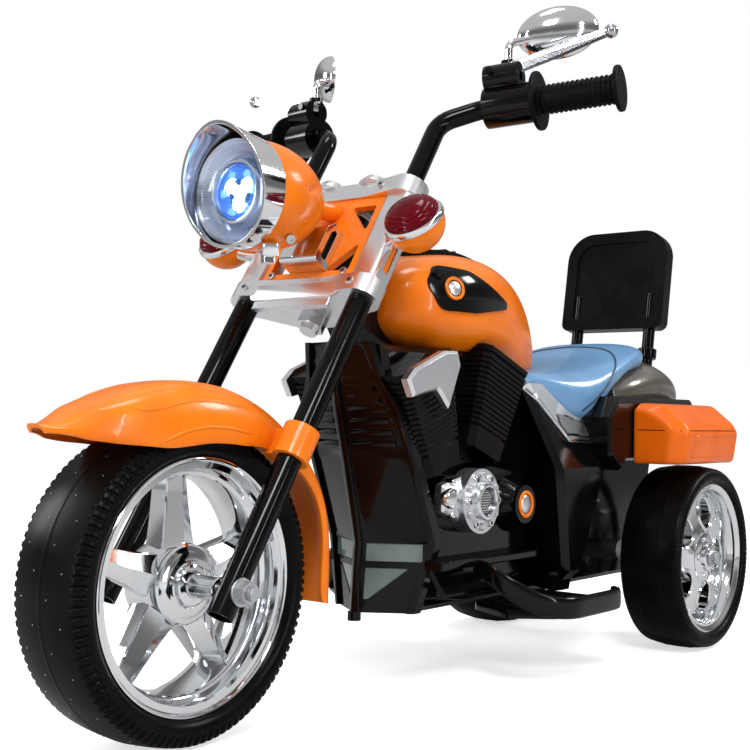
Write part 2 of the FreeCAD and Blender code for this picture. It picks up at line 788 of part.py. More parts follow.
def front_fender():
    """Swept mudguard with a beaked front, a long rear skirt and a clamp round each fork leg."""
    tip_r = fender_reach / math.sin(math.radians(fender_tip_turn))
    stations = [
        (-fender_tip_turn, tip_r, 9.0, tip_r - 7.0), (-41.0, fender_crown_r + 15.0, 23.0, 157.0),
        (-31.0, fender_crown_r + 7.0, 35.0, 133.0), (-8.0, fender_crown_r + 1.0, fender_half_w, 112.0),
        (22.0, fender_crown_r, fender_half_w, 114.0),
        (52.0, fender_crown_r - 1.0, fender_half_w - 1.0, 129.0),
        (78.0, fender_crown_r - 2.0, fender_half_w - 3.0, 132.0),
        (101.0, fender_crown_r + 1.0, fender_half_w - 6.0, 138.0),
    ]
    loops = [fender_loop(*station) for station in stations]
    guard = Part.makeLoft(loops, True, False)
    guard.translate(V(0, front_y, front_tyre_r))
    clamp_at, clamp_h = 112.0, 27.0
    for side in (-1, 1):
        x = side * fork_half_gap
        collar = Part.makeCylinder(fork_tube_r + 4.5, clamp_h, V(x, 0, clamp_at))
        corner = V(side * fork_half_gap - 13.0 - side * 13.0, -4.5, clamp_at + 2.0)
        web = Part.makeBox(26.0, 9.0, clamp_h - 4.0, corner)
        clamp = on_fork(collar.fuse(web))
        inside = Part.makeBox(2 * (fender_half_w - fender_wall - 1.0), 400.0, 400.0,
                              V(-(fender_half_w - fender_wall - 1.0), front_y - 200.0, 0.0))
        bore = on_fork(Part.makeCylinder(fork_tube_r + running_gap, clamp_h + 2.0, V(x, 0, clamp_at - 1.0)))
        guard = guard.fuse(clamp.cut(inside)).cut(bore)
    return guard


# Handlebars and controls, drawn for the rider's left

def bar_points():
    """Corners of the left bar from its socket to the end of its grip."""
    foot = fork_point(fork_half_gap, 0.0, upper_yoke_at + yoke_h - bar_socket_depth + seat_gap)
    knee = fork_point(fork_half_gap, 0.0, upper_yoke_at + bar_rise)
    elbow = knee + V(bar_spread, bar_pullback, bar_lift)
    tip = elbow + grip_direction() * (pod_start + pod_len + grip_len - flange_t - seat_gap)
    return foot, knee, elbow, tip


def grip_direction():
    """Unit vector along the left grip: outwards, swept back and a little up."""
    sweep = math.radians(grip_sweep)
    rise = math.radians(grip_rise)
    return V(math.cos(sweep) * math.cos(rise), math.sin(sweep) * math.cos(rise), math.sin(rise))


def grip_place(out, back, up):
    """Point in the left grip's own directions, from the elbow of the bar."""
    axis = grip_direction()
    rear = V(-axis.y, axis.x, 0).normalize()
    top = axis.cross(rear)
    return bar_points()[2] + axis * out + rear * back + top * up


def handlebar():
    """Bent tube for the left hand."""
    foot, knee, elbow, tip = bar_points()
    return bent_rod([foot, knee, elbow, tip], [26.0, 30.0], bar_r)


def grip():
    """Rubber sleeve with a wide inner and a narrower outer flange."""
    start = grip_place(pod_start + pod_len + seat_gap, 0, 0)
    axis = grip_direction()
    end = start + axis * grip_len
    sleeve = rod(start, end, grip_r)
    sleeve = sleeve.fuse(rod(start, start + axis * flange_t, grip_inner_flange_r))
    sleeve = sleeve.fuse(rod(end - axis * flange_t, end, grip_outer_flange_r))
    bore = rod(start - axis, end - axis * flange_t, bar_r + seat_gap)
    return sleeve.cut(bore).removeSplitter()


def control_pod():
    """Two-lobed clamp housing on the bar with a neck for the mirror stem and a slot for the lever."""
    start = grip_place(pod_start, 0, 0)
    axis = grip_direction()
    barrel = rod(start, start + axis * pod_len, pod_r)
    crest_start = grip_place(pod_start + 2.0, -4.0, crest_up)
    crest = rod(crest_start, crest_start + axis * crest_len, crest_r)
    neck = Part.makeCone(8.5, 6.5, 14.0, mirror_foot() - V(0, 0, 6.0), V(0, 0, 1))
    housing = barrel.fuse(crest).fuse(neck)
    housing = housing.cut(rod(start - axis * 40, start + axis * (pod_len + 2), bar_r + seat_gap))
    foot = mirror_foot()
    housing = housing.cut(rod(foot - V(0, 0, seat_gap), foot + V(0, 0, 20.0), mirror_stem_r + running_gap))
    lever_slot = Part.makeBox(52.0, lever_t + 2 * turn_gap, 30.0, V(-9.0, -lever_t / 2 - turn_gap, -9.0))
    lever_slot.Placement = FreeCAD.Placement(lever_pivot(), grip_turn())
    pin_hole = rod(V(0, -20.0, 0), V(0, 20.0, 0), lever_pin_r + running_gap)
    pin_hole.Placement = FreeCAD.Placement(lever_pivot(), grip_turn()).multiply(pin_hole.Placement)
    return housing.cut(lever_slot).cut(pin_hole).removeSplitter()


def grip_turn():
    """Rotation that lays the X axis along the left grip."""
    return FreeCAD.Rotation(V(1, 0, 0), grip_direction())


def lever_pivot():
    """Middle of the lever's pivot screw."""
    return grip_place(pod_start + 9.0, -4.0, crest_up + 5.0)


def hand_lever():
    """Tapering blade with a pivot eye and a ball end, rising away from the grip."""
    rise = math.tan(math.radians(lever_rise))
    outline = [
        (-6.0, -5.0), (8.0, -5.0), (lever_len * 0.5, -4.5 + lever_len * 0.45 * rise),
        (lever_len, lever_len * rise - 3.0), (lever_len, lever_len * rise + 3.0),
        (lever_len * 0.45, 4.5 + lever_len * 0.45 * rise), (8.0, 6.0), (-6.0, 6.0),
    ]
    points = [V(x, -lever_t / 2, z) for x, z in outline]
    blade = prism(points, [4, 12, 20, 1, 1, 20, 12, 4], V(0, lever_t, 0))
    blade = blade.fuse(Part.makeSphere(6.0, V(lever_len + 2.0, 0, lever_len * rise)))
    blade = blade.cut(rod(V(0, -10.0, 0), V(0, 10.0, 0), lever_pin_r + running_gap))
    blade.Placement = FreeCAD.Placement(lever_pivot(), grip_turn())
    return blade


def lever_screw():
    """Pivot screw that crosses the pod's slot."""
    reach = crest_r + 0.1
    screw = rod(V(0, -reach, 0), V(0, reach - 4.0, 0), lever_pin_r)
    screw = screw.fuse(rod(V(0, -reach - 2.0, 0), V(0, -reach, 0), lever_pin_r + 1.6)).removeSplitter()
    screw.Placement = FreeCAD.Placement(lever_pivot(), grip_turn()).multiply(screw.Placement)
    return screw


def mirror_foot():
    """Bottom of the left mirror's stem in the pod's neck."""
    return grip_place(pod_start + 19.0, 7.0, crest_up + 10.0) + V(0, 0, seat_gap)


def mirror_pieces():
    """Bent stem, oval shell and glass of the left mirror."""
    foot = mirror_foot()
    bend = foot + V(0, 0, 24.0)
    across = FreeCAD.Rotation(V(0, 0, 1), mirror_sweep).multVec(V(1, 0, 0))
    entry = bend + V(11.0, 38.0, 14.0)
    middle = entry + across * (mirror_half_w * 0.4) + V(0, 0, 4.0)
    shell = Part.makeSphere(1.0, V(0, 0, 0), V(0, 0, 1), -90, 90, 360)
    shell = shell.cut(Part.makeBox(4, 2, 4, V(-2, 0, -2)))
    stretch = FreeCAD.Matrix()
    stretch.scale(mirror_half_w, mirror_depth, mirror_half_h)
    shell = shell.transformGeometry(stretch)
    recess = oval_plate(mirror_half_w - 3.0, mirror_half_h - 3.0, 3.0)
    plate = oval_plate(mirror_half_w - 3.0 - seat_gap, mirror_half_h - 3.0 - seat_gap, 3.0 - seat_gap)
    plate.translate(V(0, -seat_gap * 0.5, 0))
    shell = shell.cut(recess)
    turn = FreeCAD.Rotation(V(0, 0, 1), mirror_sweep).multiply(FreeCAD.Rotation(V(0, 1, 0), -mirror_cant))
    placement = FreeCAD.Placement(middle, turn)
    shell.Placement = placement
    plate.Placement = placement.multiply(plate.Placement)
    stem = bent_rod([foot, bend, entry], [9.0], mirror_stem_r)
    whole = Part.makeSphere(1.0, V(0, 0, 0), V(0, 0, 1), -90, 90, 360).transformGeometry(stretch)
    whole.Placement = placement
    shell = shell.fuse(stem.cut(whole)).removeSplitter()
    return shell, plate


def oval_plate(half_w, half_h, thickness):
    """Flat oval disc whose outer face is at y = 0 and whose body lies ahead of it."""
    ellipse = Part.Ellipse(V(0, 0, 0), half_w, half_h)
    face = Part.Face(Part.Wire(ellipse.toShape()))
    face.rotate(V(0, 0, 0), V(1, 0, 0), 90)
    return face.extrude(V(0, -thickness, 0))


# Body shell

def body_outline():
    """Side outline of the two body halves, from the front top round by the floor."""
    return [
        (-450.0, 312.0), (-434.0, 250.0), (-391.0, 145.0), (-391.0, body_floor_z), (36.0, body_floor_z),
        (58.0, 108.0), (body_tail_y, 200.0), (body_tail_y, 262.0), (20.0, 292.0), (-150.0, 276.0),
        (-196.0, 290.0), (-250.0, 302.0), (-300.0, 312.0),
    ]


def body_envelope(growth):
    """The body's whole outside, both halves, grown by a gap."""
    half = body_half_w + growth
    return prism_x(inset(body_outline(), -growth), 0, -half, half)


def body_half():
    """Left moulding, hollow, with screw bosses to the centre plane and a bush hole for the axle."""
    outline = body_outline()
    shell = crowned_x(outline, 0, 0.0, body_half_w, body_crown)
    hollow = prism_x(inset(outline, body_wall), 0, -1.0, body_half_w - body_wall)
    shell = shell.cut(hollow)
    screws = ((-405.0, 270.0), (-380.0, 95.0), (-250.0, 95.0), (-250.0, 285.0), (60.0, 230.0), (-62.0, 112.0))
    for y, z in screws:
        boss = rod(V(0, y, z), V(body_half_w - body_wall + 1, y, z), boss_r)
        hole = rod(V(-1, y, z), V(body_half_w - body_wall - 8.0, y, z), boss_hole_r)
        shell = shell.fuse(boss).cut(hole)
    bush_hole_r = axle_r + running_gap + axle_bush_wall + running_gap
    shell = shell.cut(rod(V(0, 0, rear_tyre_r), V(body_half_w * 2, 0, rear_tyre_r), bush_hole_r))
    return shell.removeSplitter()


def axle_bushes():
    """Flanged bushes that carry the rear axle in the body walls."""
    inner = V(body_half_w - body_wall - 12.0, 0, rear_tyre_r)
    outer = V(body_half_w + seat_gap, 0, rear_tyre_r)
    sleeve = ring(inner, outer, axle_r + running_gap + axle_bush_wall, axle_r + running_gap)
    collar_end = V(half_track - rear_tyre_half_w + 1.5 - turn_gap, 0, rear_tyre_r)
    collar = ring(outer, collar_end, axle_r + running_gap + axle_bush_wall + 4.0, axle_r + running_gap)
    return both_sides(sleeve.fuse(collar).removeSplitter())


def rear_axle():
    """Plain steel rod through both wheels."""
    reach = half_track + rear_tyre_half_w - 3.5 + washer_h + nut_h - 4.0
    return rod(V(-reach, 0, rear_tyre_r), V(reach, 0, rear_tyre_r), axle_r)


def rear_axle_nuts():
    """Washer and nut pressed on each end of the rear axle."""
    face = half_track + 29.0 + turn_gap
    start = V(face, 0, rear_tyre_r)
    washer = ring(start, start + V(washer_h, 0, 0), washer_r, axle_r + running_gap)
    nut = hex_prism(start + V(washer_h, 0, 0), V(1, 0, 0), nut_af - 2.0, nut_h - 3.0)
    nut = nut.cut(rod(start, start + V(40, 0, 0), axle_r + running_gap))
    return both_sides(washer.fuse(nut).removeSplitter())


def front_axle_set():
    """Front axle rod with a washer and nut outside each fork leg."""
    face = fork_half_gap + fork_tube_r
    reach = face + washer_h + nut_h + 5.0
    centre = V(0, front_y, front_tyre_r)
    axle = rod(centre - V(reach, 0, 0), centre + V(reach, 0, 0), axle_r)
    start = centre + V(face, 0, 0)
    washer = ring(start, start + V(washer_h, 0, 0), washer_r, axle_r + running_gap)
    nut = hex_prism(start + V(washer_h, 0, 0), V(1, 0, 0), nut_af, nut_h)
    nut = nut.cut(rod(start, start + V(40, 0, 0), axle_r + running_gap))
    return [axle] + both_sides(washer.fuse(nut).removeSplitter())


panel_rows = [
    (panel_foot, -431.0, -398.0, 46.0), (135.0, -426.0, -389.0, 62.0), (215.0, -446.0, -422.0, 61.0),
    (255.0, -457.0, -440.0, 57.0), (282.0, -461.5, -449.0, 43.0), (panel_top, -467.0, -459.0, 36.0),
]


def panel_row(z):
    """Ridge depth, edge depth and half width of the front panel at a height."""
    for low, high in zip(panel_rows, panel_rows[1:]):
        if z <= high[0] + 1e-9:
            share = (z - low[0]) / (high[0] - low[0])
            return [a + (b - a) * share for a, b in zip(low, high)][1:]
    return list(panel_rows[-1][1:])


def panel_band(z_low, z_high, x_in, x_out, proud, depth):
    """Strip of the panel's left face between two heights, standing proud by a distance."""
    loops = []
    for z, (near, far) in ((z_low, (x_in[0], x_out[0])), (z_high, (x_in[1], x_out[1]))):
        ridge, edge, half = panel_row(z)
        slope = (edge - ridge) / half
        points = []
        for x, shift in ((near, -proud), (far, -proud), (far, depth), (near, depth)):
            points.append(V(x, ridge + slope * x + shift, z))
        loops.append(Part.makePolygon(points + points[:1]))
    return Part.makeLoft(loops, True, True)


def front_panel():
    """Ridged grille moulding with framed edges, slats and two lower windows."""
    heights = [row[0] for row in panel_rows]
    half = None
    for low, high in zip(heights, heights[1:]):
        widths = (panel_row(low)[2], panel_row(high)[2])
        pieces = [
            panel_band(low, high, (0.0, 0.0), widths, 0.0, panel_wall),
            panel_band(low, high, (0.0, 0.0), (4.5, 4.5), panel_proud, panel_wall),
            panel_band(low, high, (widths[0] - 6.0, widths[1] - 6.0), widths, panel_proud, panel_wall),
        ]
        for piece in pieces:
            half = piece if half is None else half.fuse(piece)
    for i in range(6):
        z = 222.0 + 10.0 * i
        reach = panel_row(z)[2] - 14.0
        half = half.fuse(panel_band(z, z + 4.0, (9.0, 9.0), (reach, reach), 2.0, 1.0))
    for window in window_bands(seat_gap, 1.0, panel_wall + 1.0):
        half = half.cut(window)
    nub = rod(V(0, -430.0, panel_foot + 1.0), V(0, -430.0, panel_foot - 7.0), 6.0)
    for x, z in ((26.0, 150.0), (22.0, 284.0)):
        ridge, edge, reach = panel_row(z)
        start = V(x, ridge + (edge - ridge) / reach * x + panel_wall - 2.0, z)
        half = half.fuse(rod(start, start + V(0, 40.0, 0), 5.0).cut(body_envelope(0.1)).common(front_room()))
    panel = half.fuse(mirrored(half)).fuse(nub)
    return panel.removeSplitter()


def front_room():
    """Space ahead of the body's front wall."""
    crown, waist, knee = body_outline()[:3]
    outline = [(-480.0, 60.0), (knee[0] + 11.0, 60.0), knee, waist, crown, (-480.0, crown[1])]
    return prism_x(outline, 0, -100.0, 100.0)


def panel_space():
    """Room the panel takes, grown by a gap."""
    heights = [row[0] for row in panel_rows]
    heights[0] -= seat_gap
    space = None
    for low, high in zip(heights, heights[1:]):
        widths = (panel_row(low)[2] + seat_gap, panel_row(high)[2] + seat_gap)
        band = panel_band(low, high, (0.0, 0.0), widths, panel_proud + seat_gap, panel_wall + seat_gap)
        space = band if space is None else space.fuse(band)
    return space


def window_bands(growth, proud, depth):
    """The level band and the tapering pane of the left lower windows."""
    near = (6.0 - growth, 6.0 - growth)
    band = panel_band(118.0 - growth, 134.0 + growth, near, (50.0 + growth, 50.0 + growth), proud, depth)
    pane = panel_band(84.0 - growth, 112.0 + growth, near, (9.0 + growth, 40.0 + growth), proud, depth)
    return [band, pane]


def panel_windows():
    """Four smoked panes set in the panel's openings."""
    panes = []
    for pane in window_bands(0.0, -1.2, panel_wall):
        panes.extend(both_sides(pane))
    return panes


# Tank, seat and rear body

tank_stations = [
    (-420.0, 20.0, 336.0, 368.0), (-404.0, 43.0, 320.0, 387.0), (-364.0, 62.0, 310.0, 401.0),
    (-314.0, 65.0, 306.0, 407.0), (-262.0, 57.0, 300.0, 403.0), (-212.0, 43.0, 290.0, 385.0),
    (-170.0, 26.0, 290.0, 343.0),
]
seat_stations = [
    (-216.0, 46.0, 276.0, 296.0), (-182.0, 64.0, 256.0, 302.0), (-142.0, 77.0, 236.0, 307.0),
    (-98.0, 81.0, 264.0, 314.0), (-52.0, 80.0, 294.0, 326.0), (-8.0, 73.0, 302.0, 338.0),
    (16.0, 61.0, 308.0, 334.0),
]
cowl_stations = [
    (-70.0, 70.0, 250.0, 300.0), (-20.0, 84.0, 250.0, 318.0), (40.0, 84.0, 250.0, 323.0),
    (78.0, 76.0, 252.0, 306.0), (97.0, 56.0, 254.0, 276.0),
]


def tank(growth):
    """Teardrop tank form."""
    return hull_loft(tank_stations, 2.6, growth)


def seat_form(growth):
    """Saddle form with drooping flanks and a raised rear."""
    return hull_loft(seat_stations, 2.8, growth)


def cowl_form(growth):
    """Domed rear cowl form."""
    return hull_loft(cowl_stations, 2.3, growth)


def tank_pieces():
    """Tank, its raised side inlays and the switch console on top."""
    form = tank(0.0)
    shell = form.cut(body_envelope(seat_gap))
    skin = tank(turn_gap)
    inlay_outline = [
        (-396.0, 370.0), (-380.0, 389.0), (-344.0, 386.0), (-268.0, 356.0), (-338.0, 346.0), (-382.0, 346.0),
    ]
    inlay = tank(2.2).common(prism_x(inlay_outline, [12, 14, 30, 4, 30, 14], 0.0, 120.0)).cut(skin)
    plan = [(-15.0, -360.0), (15.0, -360.0), (12.0, -256.0), (-12.0, -256.0)]
    console = tank(console_rise).common(prism_z(plan, 8.0, 370.0, 440.0)).cut(skin)
    for place in (power_switch_place(), direction_switch_place()):
        well = Part.makeBox(rocker_w + 2 * turn_gap, rocker_len + 4 * turn_gap, 30.0)
        well.translate(place - V(rocker_w / 2 + turn_gap, rocker_len / 2 + 2 * turn_gap, 2.5))
        console = console.cut(well)
    return shell, inlay, console


def height_over(shape, y):
    """Top of a form on the centre plane at a distance along the part."""
    probe = Part.makeLine(V(0, y, 0), V(0, y, 1000.0))
    return probe.common(shape).BoundBox.ZMax


def power_switch_place():
    """Middle of the power rocker on the console."""
    y = -338.0
    return V(0, y, height_over(tank(console_rise), y))


def direction_switch_place():
    """Middle of the forward and reverse rocker on the console."""
    y = -296.0
    return V(0, y, height_over(tank(console_rise), y))


def rocker_switch(place):
    """Rocker cap with two sloping faces over a half-round pivot."""
    half = rocker_len / 2
    outline = [(-half, -0.6), (0.0, -1.9), (half, -0.6), (half, 3.0), (0.0, 1.4), (-half, 3.0)]
    cap = prism_x(outline, 0, -rocker_w / 2, rocker_w / 2)
    pin = rod(V(-rocker_w / 2, 0, 0), V(rocker_w / 2, 0, 0), rocker_pin_r)
    corner = V(-rocker_w / 2, -rocker_pin_r, -rocker_pin_r)
    lower = Part.makeBox(rocker_w, 2 * rocker_pin_r, rocker_pin_r, corner)
    cap = cap.fuse(pin.common(lower)).removeSplitter()
    cap.translate(place)
    return cap


def seat_piece():
    """Moulded seat, hollowed where it sits on the body and the tank's tail."""
    seat = seat_form(0.0).cut(body_envelope(seat_gap)).cut(tank(seat_gap))
    return seat


def shin_form(growth):
    """Flared side panel from under the seat down to the footboard, left side."""
    inner = body_half_w + seat_gap - growth
    rows = [
        (77.0 - growth, 82.0, -212.0, -178.0), (88.0, 84.0, -212.0, -178.0), (98.0, 94.0, -214.0, -176.0),
        (200.0, 90.0, -222.0, -118.0), (246.0, 70.0, -228.0, -118.0), (283.0 + growth, 54.0, -232.0, -120.0),
    ]
    loops = []
    for z, outer, front, rear in rows:
        points = [
            V(inner, front + 20.0 - growth, z), V(outer - 5.0, front - growth, z),
            V(outer + growth, front + 9.0, z), V(outer + growth, rear - 8.0, z),
            V(outer - 10.0, rear + growth, z), V(inner, rear + growth, z),
        ]
        loops.append(Part.makePolygon(points + points[:1]))
    return Part.makeLoft(loops, True, True)


def guard_outline():
    """Side outline of the inner rear mudguard."""
    return [(-116.0, 196.0), (-142.0, 214.0), (-142.0, 252.0), (-120.0, 274.0), (60.0, 274.0), (76.0, 256.0),
            (76.0, 206.0), (-104.0, 206.0)]


def rear_guard():
    """Inner mudguard that carries a saddlebag, left side."""
    guard = crowned_x(guard_outline(), 0, body_half_w + seat_gap, bag_inner_x - seat_gap, 3.0)
    return guard.cut(shin_form(trim_rise + seat_gap)).cut(seat_form(turn_gap)).cut(cowl_form(seat_gap))


def saddlebag():
    """Left bag shell with a sloping lid, bevelled corners and a recessed side panel."""
    loops = []
    bevel = 14.0
    ends = ((bag_front_y, bevel), (bag_front_y + bevel, 0.0), (bag_rear_y - bevel, 0.0), (bag_rear_y, bevel))
    for y, draw in ends:
        top = bag_top_z - draw * 0.5
        outer = bag_outer_x - draw
        points = [
            V(bag_inner_x, y, bag_foot_z), V(outer - 5.0, y, bag_foot_z), V(outer, y, bag_foot_z + 34.0),
            V(outer - 6.0, y, bag_foot_z + 44.0), V(outer - 30.0, y, top - 1.0), V(bag_inner_x, y, top),
        ]
        loops.append(rounded_wire(points, [0, 4, 5, 5, 6, 0]))
    bag = Part.makeLoft(loops, True, True)
    lid_line = Part.makeBox(200.0, 200.0, 1.2, V(bag_inner_x + 4.0, -100.0, bag_foot_z + 36.0))
    core = Part.makeLoft([loop.copy() for loop in loops], True, True)
    core.scale(0.985, V(bag_inner_x, (bag_front_y + bag_rear_y) / 2, bag_foot_z + 20.0))
    bag = bag.cut(lid_line.cut(core))
    field = [(-66.0, 212.0), (46.0, 212.0), (46.0, 234.0), (-58.0, 234.0)]
    recess = prism_x(field, 6.0, bag_outer_x - 2.5, bag_outer_x + 5.0)
    raised = prism_x(inset(field, 2.0), 4.0, bag_outer_x - 4.0, bag_outer_x - 1.4)
    return bag.cut(recess.cut(raised))


def backrest_turn(shape):
    """Lean a piece drawn upright over the backrest's foot."""
    placed = shape.copy()
    placed.rotate(V(0, back_foot_y, back_foot_z), V(1, 0, 0), -back_lean)
    return placed


def backrest():
    """Arched pad with a raised border and sockets for its two posts."""
    outline = [
        (-back_half_w, back_foot_z), (back_half_w, back_foot_z), (back_half_w, back_foot_z + back_h),
        (-back_half_w, back_foot_z + back_h),
    ]
    front = back_foot_y - back_t / 2
    points = [V(x, front, z) for x, z in outline]
    pad = prism(points, [9, 9, 34, 34], V(0, back_t, 0))
    inner = [V(x, front - 1.0, z) for x, z in inset(outline, 14.0)]
    pad = pad.cut(prism(inner, [5, 5, 22, 22], V(0, 4.0, 0)))
    for x in (-post_half_gap, post_half_gap):
        foot = V(x, back_foot_y, back_foot_z - 1.0)
        pad = pad.cut(rod(foot, foot + V(0, 0, post_socket + 1.0), post_r + running_gap))
    return backrest_turn(pad)


def backrest_posts():
    """Round posts with a collar where they enter the cowl."""
    posts = []
    for x in (-post_half_gap, post_half_gap):
        top = V(x, back_foot_y, back_foot_z + post_socket - seat_gap)
        foot = V(x, back_foot_y, back_foot_z - 66.0)
        collar_foot = V(x, back_foot_y, back_foot_z - 36.0)
        collar = rod(collar_foot, collar_foot + V(0, 0, 12.0), post_r + 4.0)
        post = backrest_turn(rod(foot, top, post_r).fuse(collar).removeSplitter())
        posts.append(post)
    return posts


def rear_cowl():
    """Domed cowl behind the seat, bored for the backrest posts."""
    cowl = cowl_form(0.0).cut(body_envelope(seat_gap)).cut(seat_form(seat_gap))
    for x in (-post_half_gap, post_half_gap):
        foot = V(x, back_foot_y, back_foot_z - 66.0 - seat_gap)
        top = V(x, back_foot_y, back_foot_z)
        cowl = cowl.cut(backrest_turn(rod(foot, top, post_r + running_gap)))
        collar_foot = V(x, back_foot_y, back_foot_z - 36.0 - seat_gap)
        cowl = cowl.cut(backrest_turn(rod(collar_foot, top, post_r + 4.0 + seat_gap)))
    return cowl


def seat_trim():
    """Bright patterned strip on the side panel under the seat's flank."""
    outline = [(-233.0, 280.0), (-186.0, 226.0), (-124.0, 224.0), (-122.0, 300.0), (-200.0, 300.0)]
    strip = shin_form(trim_rise).common(prism_x(outline, 0, body_half_w + 6.0, 130.0))
    return strip.cut(shin_form(seat_gap)).cut(shin_form(0.0)).cut(seat_form(seat_gap))


# Engine dress, drawn for the rider's left

def engine_cylinder(foot_y, lean, foot_span, top_span):
    """Finned cylinder leaning in the engine's V and flaring upwards, left side."""
    root = body_half_w + seat_gap

    def section(z_from, z_to, depth):
        reach = root + cylinder_reach - depth
        loops = []
        for z in (z_from, z_to):
            share = (z - cylinder_foot) / (cylinder_h - cylinder_foot)
            low, high = [foot + (top - foot) * share for foot, top in zip(foot_span, top_span)]
            low += depth
            high -= depth
            points = [
                V(root, low, z), V(reach - cylinder_bevel, low, z), V(reach, low + cylinder_bevel, z),
                V(reach, high - cylinder_bevel, z), V(reach - cylinder_bevel, high, z), V(root, high, z),
            ]
            loops.append(Part.makePolygon(points + points[:1]))
        return Part.makeLoft(loops, True, True)

    block = section(cylinder_foot, cylinder_h, fin_depth)
    block = block.fuse(section(cylinder_foot, fin_start - fin_t, 0.0))
    for i in range(fin_count):
        z = fin_start + fin_pitch * i
        block = block.fuse(section(z, z + fin_t, 0.0))
    block = block.fuse(section(cylinder_h - fin_pitch, cylinder_h, 0.0)).removeSplitter()
    block.rotate(V(0, 0, 0), V(1, 0, 0), lean)
    block.translate(V(0, foot_y, vee_z))
    case_room = prism_x(inset(case_outline(), -seat_gap), 0, body_half_w, body_half_w + cylinder_reach + 2.0)
    return block.cut(case_room).cut(tank(seat_gap)).cut(shin_form(seat_gap)).cut(panel_space())


def rocker_cover():
    """Bright faceted cover on the front cylinder's face."""
    face = body_half_w + seat_gap + cylinder_reach + seat_gap
    outline = [
        (-60.0, 116.0), (-57.0, 99.0), (-21.0, 94.0), (-10.0, 72.0), (20.0, 103.0), (20.0, 117.0),
        (1.0, 123.0), (-46.0, 122.0),
    ]
    cover = crowned_x(outline, 0, face, face + 9.0, 2.5)
    cover.rotate(V(0, 0, 0), V(1, 0, 0), vee_half_angle)
    cover.translate(V(0, front_vee_y, vee_z))
    return cover


def case_outline():
    """Side outline of the crankcase moulding."""
    return [
        (-396.0, 112.0), (-396.0, 166.0), (-372.0, 196.0), (-300.0, 206.0), (-236.0, 196.0), (-228.0, 150.0),
        (-236.0, 96.0), (-300.0, 84.0), (-372.0, 84.0),
    ]


def engine_case():
    """Crankcase side moulding under the cylinders with a ledge along its foot."""
    root = body_half_w + seat_gap
    case = crowned_x(case_outline(), 8.0, root, body_half_w + case_reach, 3.0)
    sill = [(-398.0, 112.0), (-398.0, 120.0), (-234.0, 120.0), (-234.0, 112.0)]
    ledge = crowned_x(sill, 0, root, body_half_w + sill_reach, 1.5)
    return case.fuse(ledge).cut(panel_space()).removeSplitter()


def timing_cover():
    """Bright crankcase cover: a wedge to a small cap and a round bolted flange with a mesh collar."""
    root = body_half_w + case_reach + seat_gap
    centre_y, centre_z = -340.0, 172.0
    cap_y, cap_z = -382.0, 176.0
    wedge = crowned_x([(cap_y - 8.0, cap_z - 12.0), (cap_y - 8.0, cap_z + 12.0), (centre_y, centre_z + 27.0),
                       (centre_y, centre_z - 27.0)], 3.0, root, root + 10.0, 2.5)
    disc = Part.makeCylinder(flange_r, flange_reach, V(root, centre_y, centre_z), V(1, 0, 0))
    disc = disc.fuse(Part.makeCylinder(collar_r, flange_reach + 7.0, V(root, centre_y, centre_z), V(1, 0, 0)))
    cap = Part.makeCylinder(9.0, 15.0, V(root, cap_y, cap_z), V(1, 0, 0))
    mouth = V(root + flange_reach + 2.0, centre_y, centre_z)
    cover = wedge.fuse(disc).fuse(cap).cut(Part.makeCylinder(collar_r - 4.0, 6.0, mouth, V(1, 0, 0)))
    bolts = []
    for i in range(6):
        angle = math.radians(60 * i + 30)
        across = V(seat_gap, bolt_circle_r * math.cos(angle), bolt_circle_r * math.sin(angle))
        spot = V(root + flange_reach, centre_y, centre_z) + across
        bolts.append(hex_prism(spot, V(1, 0, 0), 6.0, 3.0))
    return cover.cut(panel_space()).removeSplitter(), bolts


def clutch_cover():
    """Dark domed round cover with a flat middle."""
    root = body_half_w + case_reach + seat_gap
    centre = V(root, -266.0, 166.0)
    dome = Part.makeCone(clutch_r, clutch_r - 9.0, clutch_reach, centre, V(1, 0, 0))
    dome = dome.fuse(Part.makeCylinder(clutch_r - 9.0, clutch_reach + 3.0, centre, V(1, 0, 0)))
    return dome.removeSplitter()


# Footboards and pedal

def board_outline():
    """Plan of the left footboard."""
    return [(body_half_w + seat_gap, board_front_y + board_sweep), (board_outer_x - 38.0, board_front_y),
            (board_outer_x, board_front_y + 46.0), (board_outer_x, board_rear_y - 16.0),
            (board_outer_x - 14.0, board_rear_y), (body_half_w + seat_gap, board_rear_y)]


def board_horn(start, along):
    """Wall on the front edge whose top sweeps up to the body in one smooth curve."""
    inwards = V(-along.y, along.x, 0).normalize()
    foot_z = board_z + board_t - 2.0
    crest = []
    for i in range(9):
        share = i / 8
        drop = (1 - math.cos(math.pi * share)) / 2
        height = board_horn_h + (board_rim_h - board_horn_h) * drop
        crest.append(start + along * (0.24 + 0.68 * share) + V(0, 0, board_z + height))
    curve = Part.BSplineCurve()
    curve.interpolate(crest)
    inner_foot = V(crest[0].x, crest[0].y, foot_z)
    outer_foot = V(crest[-1].x, crest[-1].y, foot_z)
    edges = [
        Part.makeLine(inner_foot, crest[0]), curve.toShape(), Part.makeLine(crest[-1], outer_foot),
        Part.makeLine(outer_foot, inner_foot),
    ]
    return Part.Face(Part.Wire(edges)).extrude(inwards * board_rim_t)


